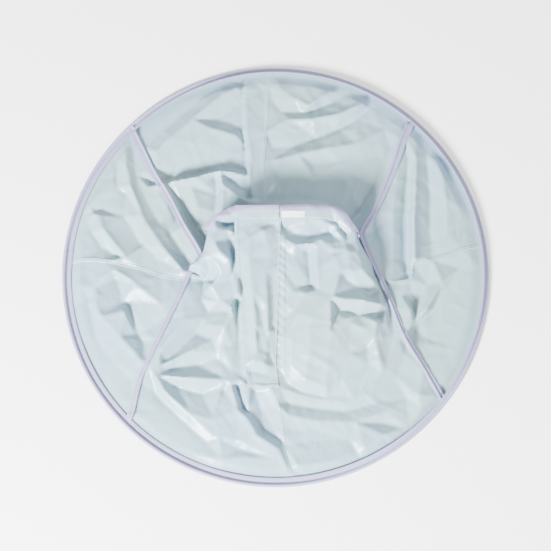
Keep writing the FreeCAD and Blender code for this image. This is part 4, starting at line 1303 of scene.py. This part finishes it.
def sewn(name, lines, thread, pitch_scale=1.0):
    """One mesh of stitches along lines of (x, y, height) points."""
    points, edges = [], []
    for line in lines:
        first = len(points)
        points += (np.asarray(line) * MM).tolist()
        edges += [(i, i + 1) for i in range(first, len(points) - 1)]
    mesh = bpy.data.meshes.new(name)
    mesh.from_pydata(points, edges, [])
    guide = bpy.data.objects.new(name + " line", mesh)
    bpy.context.scene.collection.objects.link(guide)
    tree = bpy.data.node_groups.get("Stitches") or stitch_tree()
    sizes = bpy.context.scene.cape_thread
    values = {"Pitch": sizes.pitch * pitch_scale, "Length": sizes.length * pitch_scale,
              "Radius": sizes.radius, "Unevenness": 0.25, "Seed": sizes.seed, "Thread": thread}
    modifier = guide.modifiers.new("Stitches", "NODES")
    modifier.node_group = tree
    for item in tree.interface.items_tree:
        if item.in_out == "INPUT" and item.name in values:
            modifier[item.identifier] = values[item.name]
    shown = guide.evaluated_get(bpy.context.evaluated_depsgraph_get())
    baked = bpy.data.meshes.new_from_object(shown)
    baked.name = name
    bpy.data.objects.remove(guide)
    piece = bpy.data.objects.new(name, baked)
    bpy.context.scene.collection.objects.link(piece)
    return piece


def raised(line, height, lift, offset=0.0):
    """A flat line put over the cloth, moved to its left by an offset."""
    moved = line + sideways(line) * offset
    return np.column_stack([moved, height(moved) + lift])


class CAPE_OT_stitches(Operator):
    """Sew the lines of stitches on the seams, rim, collar and flap"""
    bl_idname = "cape.stitches"
    bl_label = "Stitches"

    def execute(self, context):
        spacing = context.scene.cape_cloth.mesh_spacing / MM
        tape = context.scene.cape_binding
        gores, sleeve, flap = current_reliefs(context)
        lines = boundary_lines(spacing)
        white, grey = finish("White thread"), finish("Grey thread")
        seam_rows = []
        for key in ("left_seam", "right_seam", "back_seam", "front_seam"):
            for offset in (-1.7, 1.7):
                seam_rows.append(raised(lines[key][1:-3], gores, 0.6, offset))
        seam_stitches = sewn("Seam_stitches", seam_rows, finish("Blue thread"))
        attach(seam_stitches, "cape")

        rows = []
        for a in np.linspace(0, 2 * math.pi, 361):
            lean = math.radians(rim_lean(math.degrees(a)))
            reach = RIM_EDGE - 2 * tape.roll_radius / MM - 1.6 * math.cos(lean)
            height = 0.72 * tape.roll_radius / MM + 1.6 * math.sin(lean) + 0.9
            rows.append((reach * math.cos(a), reach * math.sin(a), height))
        rim_stitches = sewn("Rim_stitches", [rows], grey)
        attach(rim_stitches, "cape")

        right = evenly(flat_line(FLAP_RIGHT), spacing)
        edge = raised(right[1:], flap, 0.25, -1.6)
        edge_stitches = sewn("Placket_stitches", [edge], white)
        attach(edge_stitches, "neck")
        foot = raised(evenly(flat_line([(4, -170.5, 15), (-40, -170, 16)]), spacing), flap, 0.9, 0)
        foot_stitches = sewn("Foot_stitches", [foot], white)
        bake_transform(foot_stitches)
        collar = raised(evenly(flat_line([(-58, 80.2, 56), (5, 80.2, 56)]), spacing), flap, 0.95, 0)
        tape_row = raised(evenly(flat_line([(-59, 90.5, 57), (5, 90.5, 57)]), spacing), flap, 2.2, 0)
        overlap_stitches = sewn("Overlap_stitches", [collar, tape_row], white)
        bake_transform(overlap_stitches)
        band_row = raised(lines["mouth_right"][2:-2], sleeve, 1.2, -17.6)
        band_stitches = sewn("Collar_stitches", [band_row], white)
        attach(band_stitches, "neck")
        return {"FINISHED"}


class CAPE_OT_hardware(Operator):
    """Finish the hoop wire and its ferrule, which stay as the frame has them"""
    bl_idname = "cape.hardware"
    bl_label = "Hoop wire"

    def execute(self, context):
        for node in ("hoop_wire", "hoop_ferrule"):
            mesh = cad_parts[node].data
            mesh.materials.clear()
            mesh.materials.append(finish("Spring steel"))
        return {"FINISHED"}


class CAPE_OT_stage(Operator):
    """Set a pale floor, soft lamps and the camera"""
    bl_idname = "cape.stage"
    bl_label = "Stage"

    def execute(self, context):
        setup = context.scene.cape_stage
        mesh = bpy.data.meshes.new("Floor")
        half = 6.0
        mesh.from_pydata([(-half, -half, 0), (half, -half, 0), (half, half, 0), (-half, half, 0)], [],
                         [(0, 1, 2, 3)])
        floor = bpy.data.objects.new("Floor", mesh)
        context.scene.collection.objects.link(floor)
        floor.location.z = -0.0004
        material = bpy.data.materials.new("Pale floor")
        material.use_nodes = True
        shader = material.node_tree.nodes["Principled BSDF"]
        shader.inputs["Base Color"].default_value = (0.97, 0.97, 0.97, 1)
        shader.inputs["Roughness"].default_value = 0.9
        mesh.materials.append(material)

        lamps = (("Key lamp", (-1.55, -2.0, 1.5), 0.7, 640.0), ("Side lamp", (2.4, -0.6, 1.4), 1.4, 80.0),
                 ("Back lamp", (-0.6, 2.4, 1.6), 2.0, 40.0))
        for name, place, size, power in lamps:
            light = bpy.data.lights.new(name, "AREA")
            light.size = size
            light.energy = power
            lamp = bpy.data.objects.new(name, light)
            lamp.location = place
            lamp.rotation_euler = (-Vector(place)).to_track_quat("-Z", "Y").to_euler()
            context.scene.collection.objects.link(lamp)
        world = bpy.data.worlds.new("Soft room")
        world.use_nodes = True
        world.node_tree.nodes["Background"].inputs[0].default_value = (0.96, 0.98, 1.0, 1)
        world.node_tree.nodes["Background"].inputs[1].default_value = 0.92
        context.scene.world = world

        data = bpy.data.cameras.new("Camera")
        data.lens = setup.lens
        camera = bpy.data.objects.new("Camera", data)
        distance = setup.lens / data.sensor_width * setup.picture_width
        target = Vector((0.0, -0.007, 0.006))
        back = Vector((0, -math.cos(setup.elevation), math.sin(setup.elevation)))
        camera.location = target + back * distance
        camera.rotation_euler = (-back).to_track_quat("-Z", "Y").to_euler()
        context.scene.collection.objects.link(camera)
        context.scene.camera = camera
        return {"FINISHED"}


OPERATORS = (CAPE_OT_gores, CAPE_OT_seams, CAPE_OT_rim_binding, CAPE_OT_ribs, CAPE_OT_neck_sleeve,
             CAPE_OT_collar, CAPE_OT_placket_flap, CAPE_OT_stitches, CAPE_OT_hardware, CAPE_OT_stage)
GROUPS = {"cape_cloth": CapeCloth, "cape_binding": CapeBinding, "cape_thread": CapeThread,
          "cape_stage": CapeStage}


class CAPE_PT_sidebar(Panel):
    bl_idname = "CAPE_PT_sidebar"
    bl_label = "Hoop Cape"
    bl_space_type = "VIEW_3D"
    bl_region_type = "UI"
    bl_category = "Hoop Cape"

    def draw(self, context):
        layout = self.layout
        for key, group in GROUPS.items():
            for field in group.__annotations__:
                layout.prop(getattr(context.scene, key), field)
        for operator in OPERATORS:
            layout.operator(operator.bl_idname)


def register():
    for cls in (*GROUPS.values(), *OPERATORS, CAPE_PT_sidebar):
        bpy.utils.register_class(cls)
    for key, group in GROUPS.items():
        setattr(bpy.types.Scene, key, PointerProperty(type=group))


def unregister():
    for key in GROUPS:
        delattr(bpy.types.Scene, key)
    for cls in (CAPE_PT_sidebar, *reversed(OPERATORS), *reversed(GROUPS.values())):
        bpy.utils.unregister_class(cls)


def main():
    register()
    bpy.ops.cape.rim_binding()
    bpy.ops.cape.gores()
    bpy.ops.cape.seams()
    bpy.ops.cape.ribs()
    bpy.ops.cape.neck_sleeve()
    bpy.ops.cape.collar()
    bpy.ops.cape.placket_flap()
    bpy.ops.cape.stitches()
    bpy.ops.cape.hardware()
    bpy.ops.cape.stage()


if __name__ == "__main__":
    main()
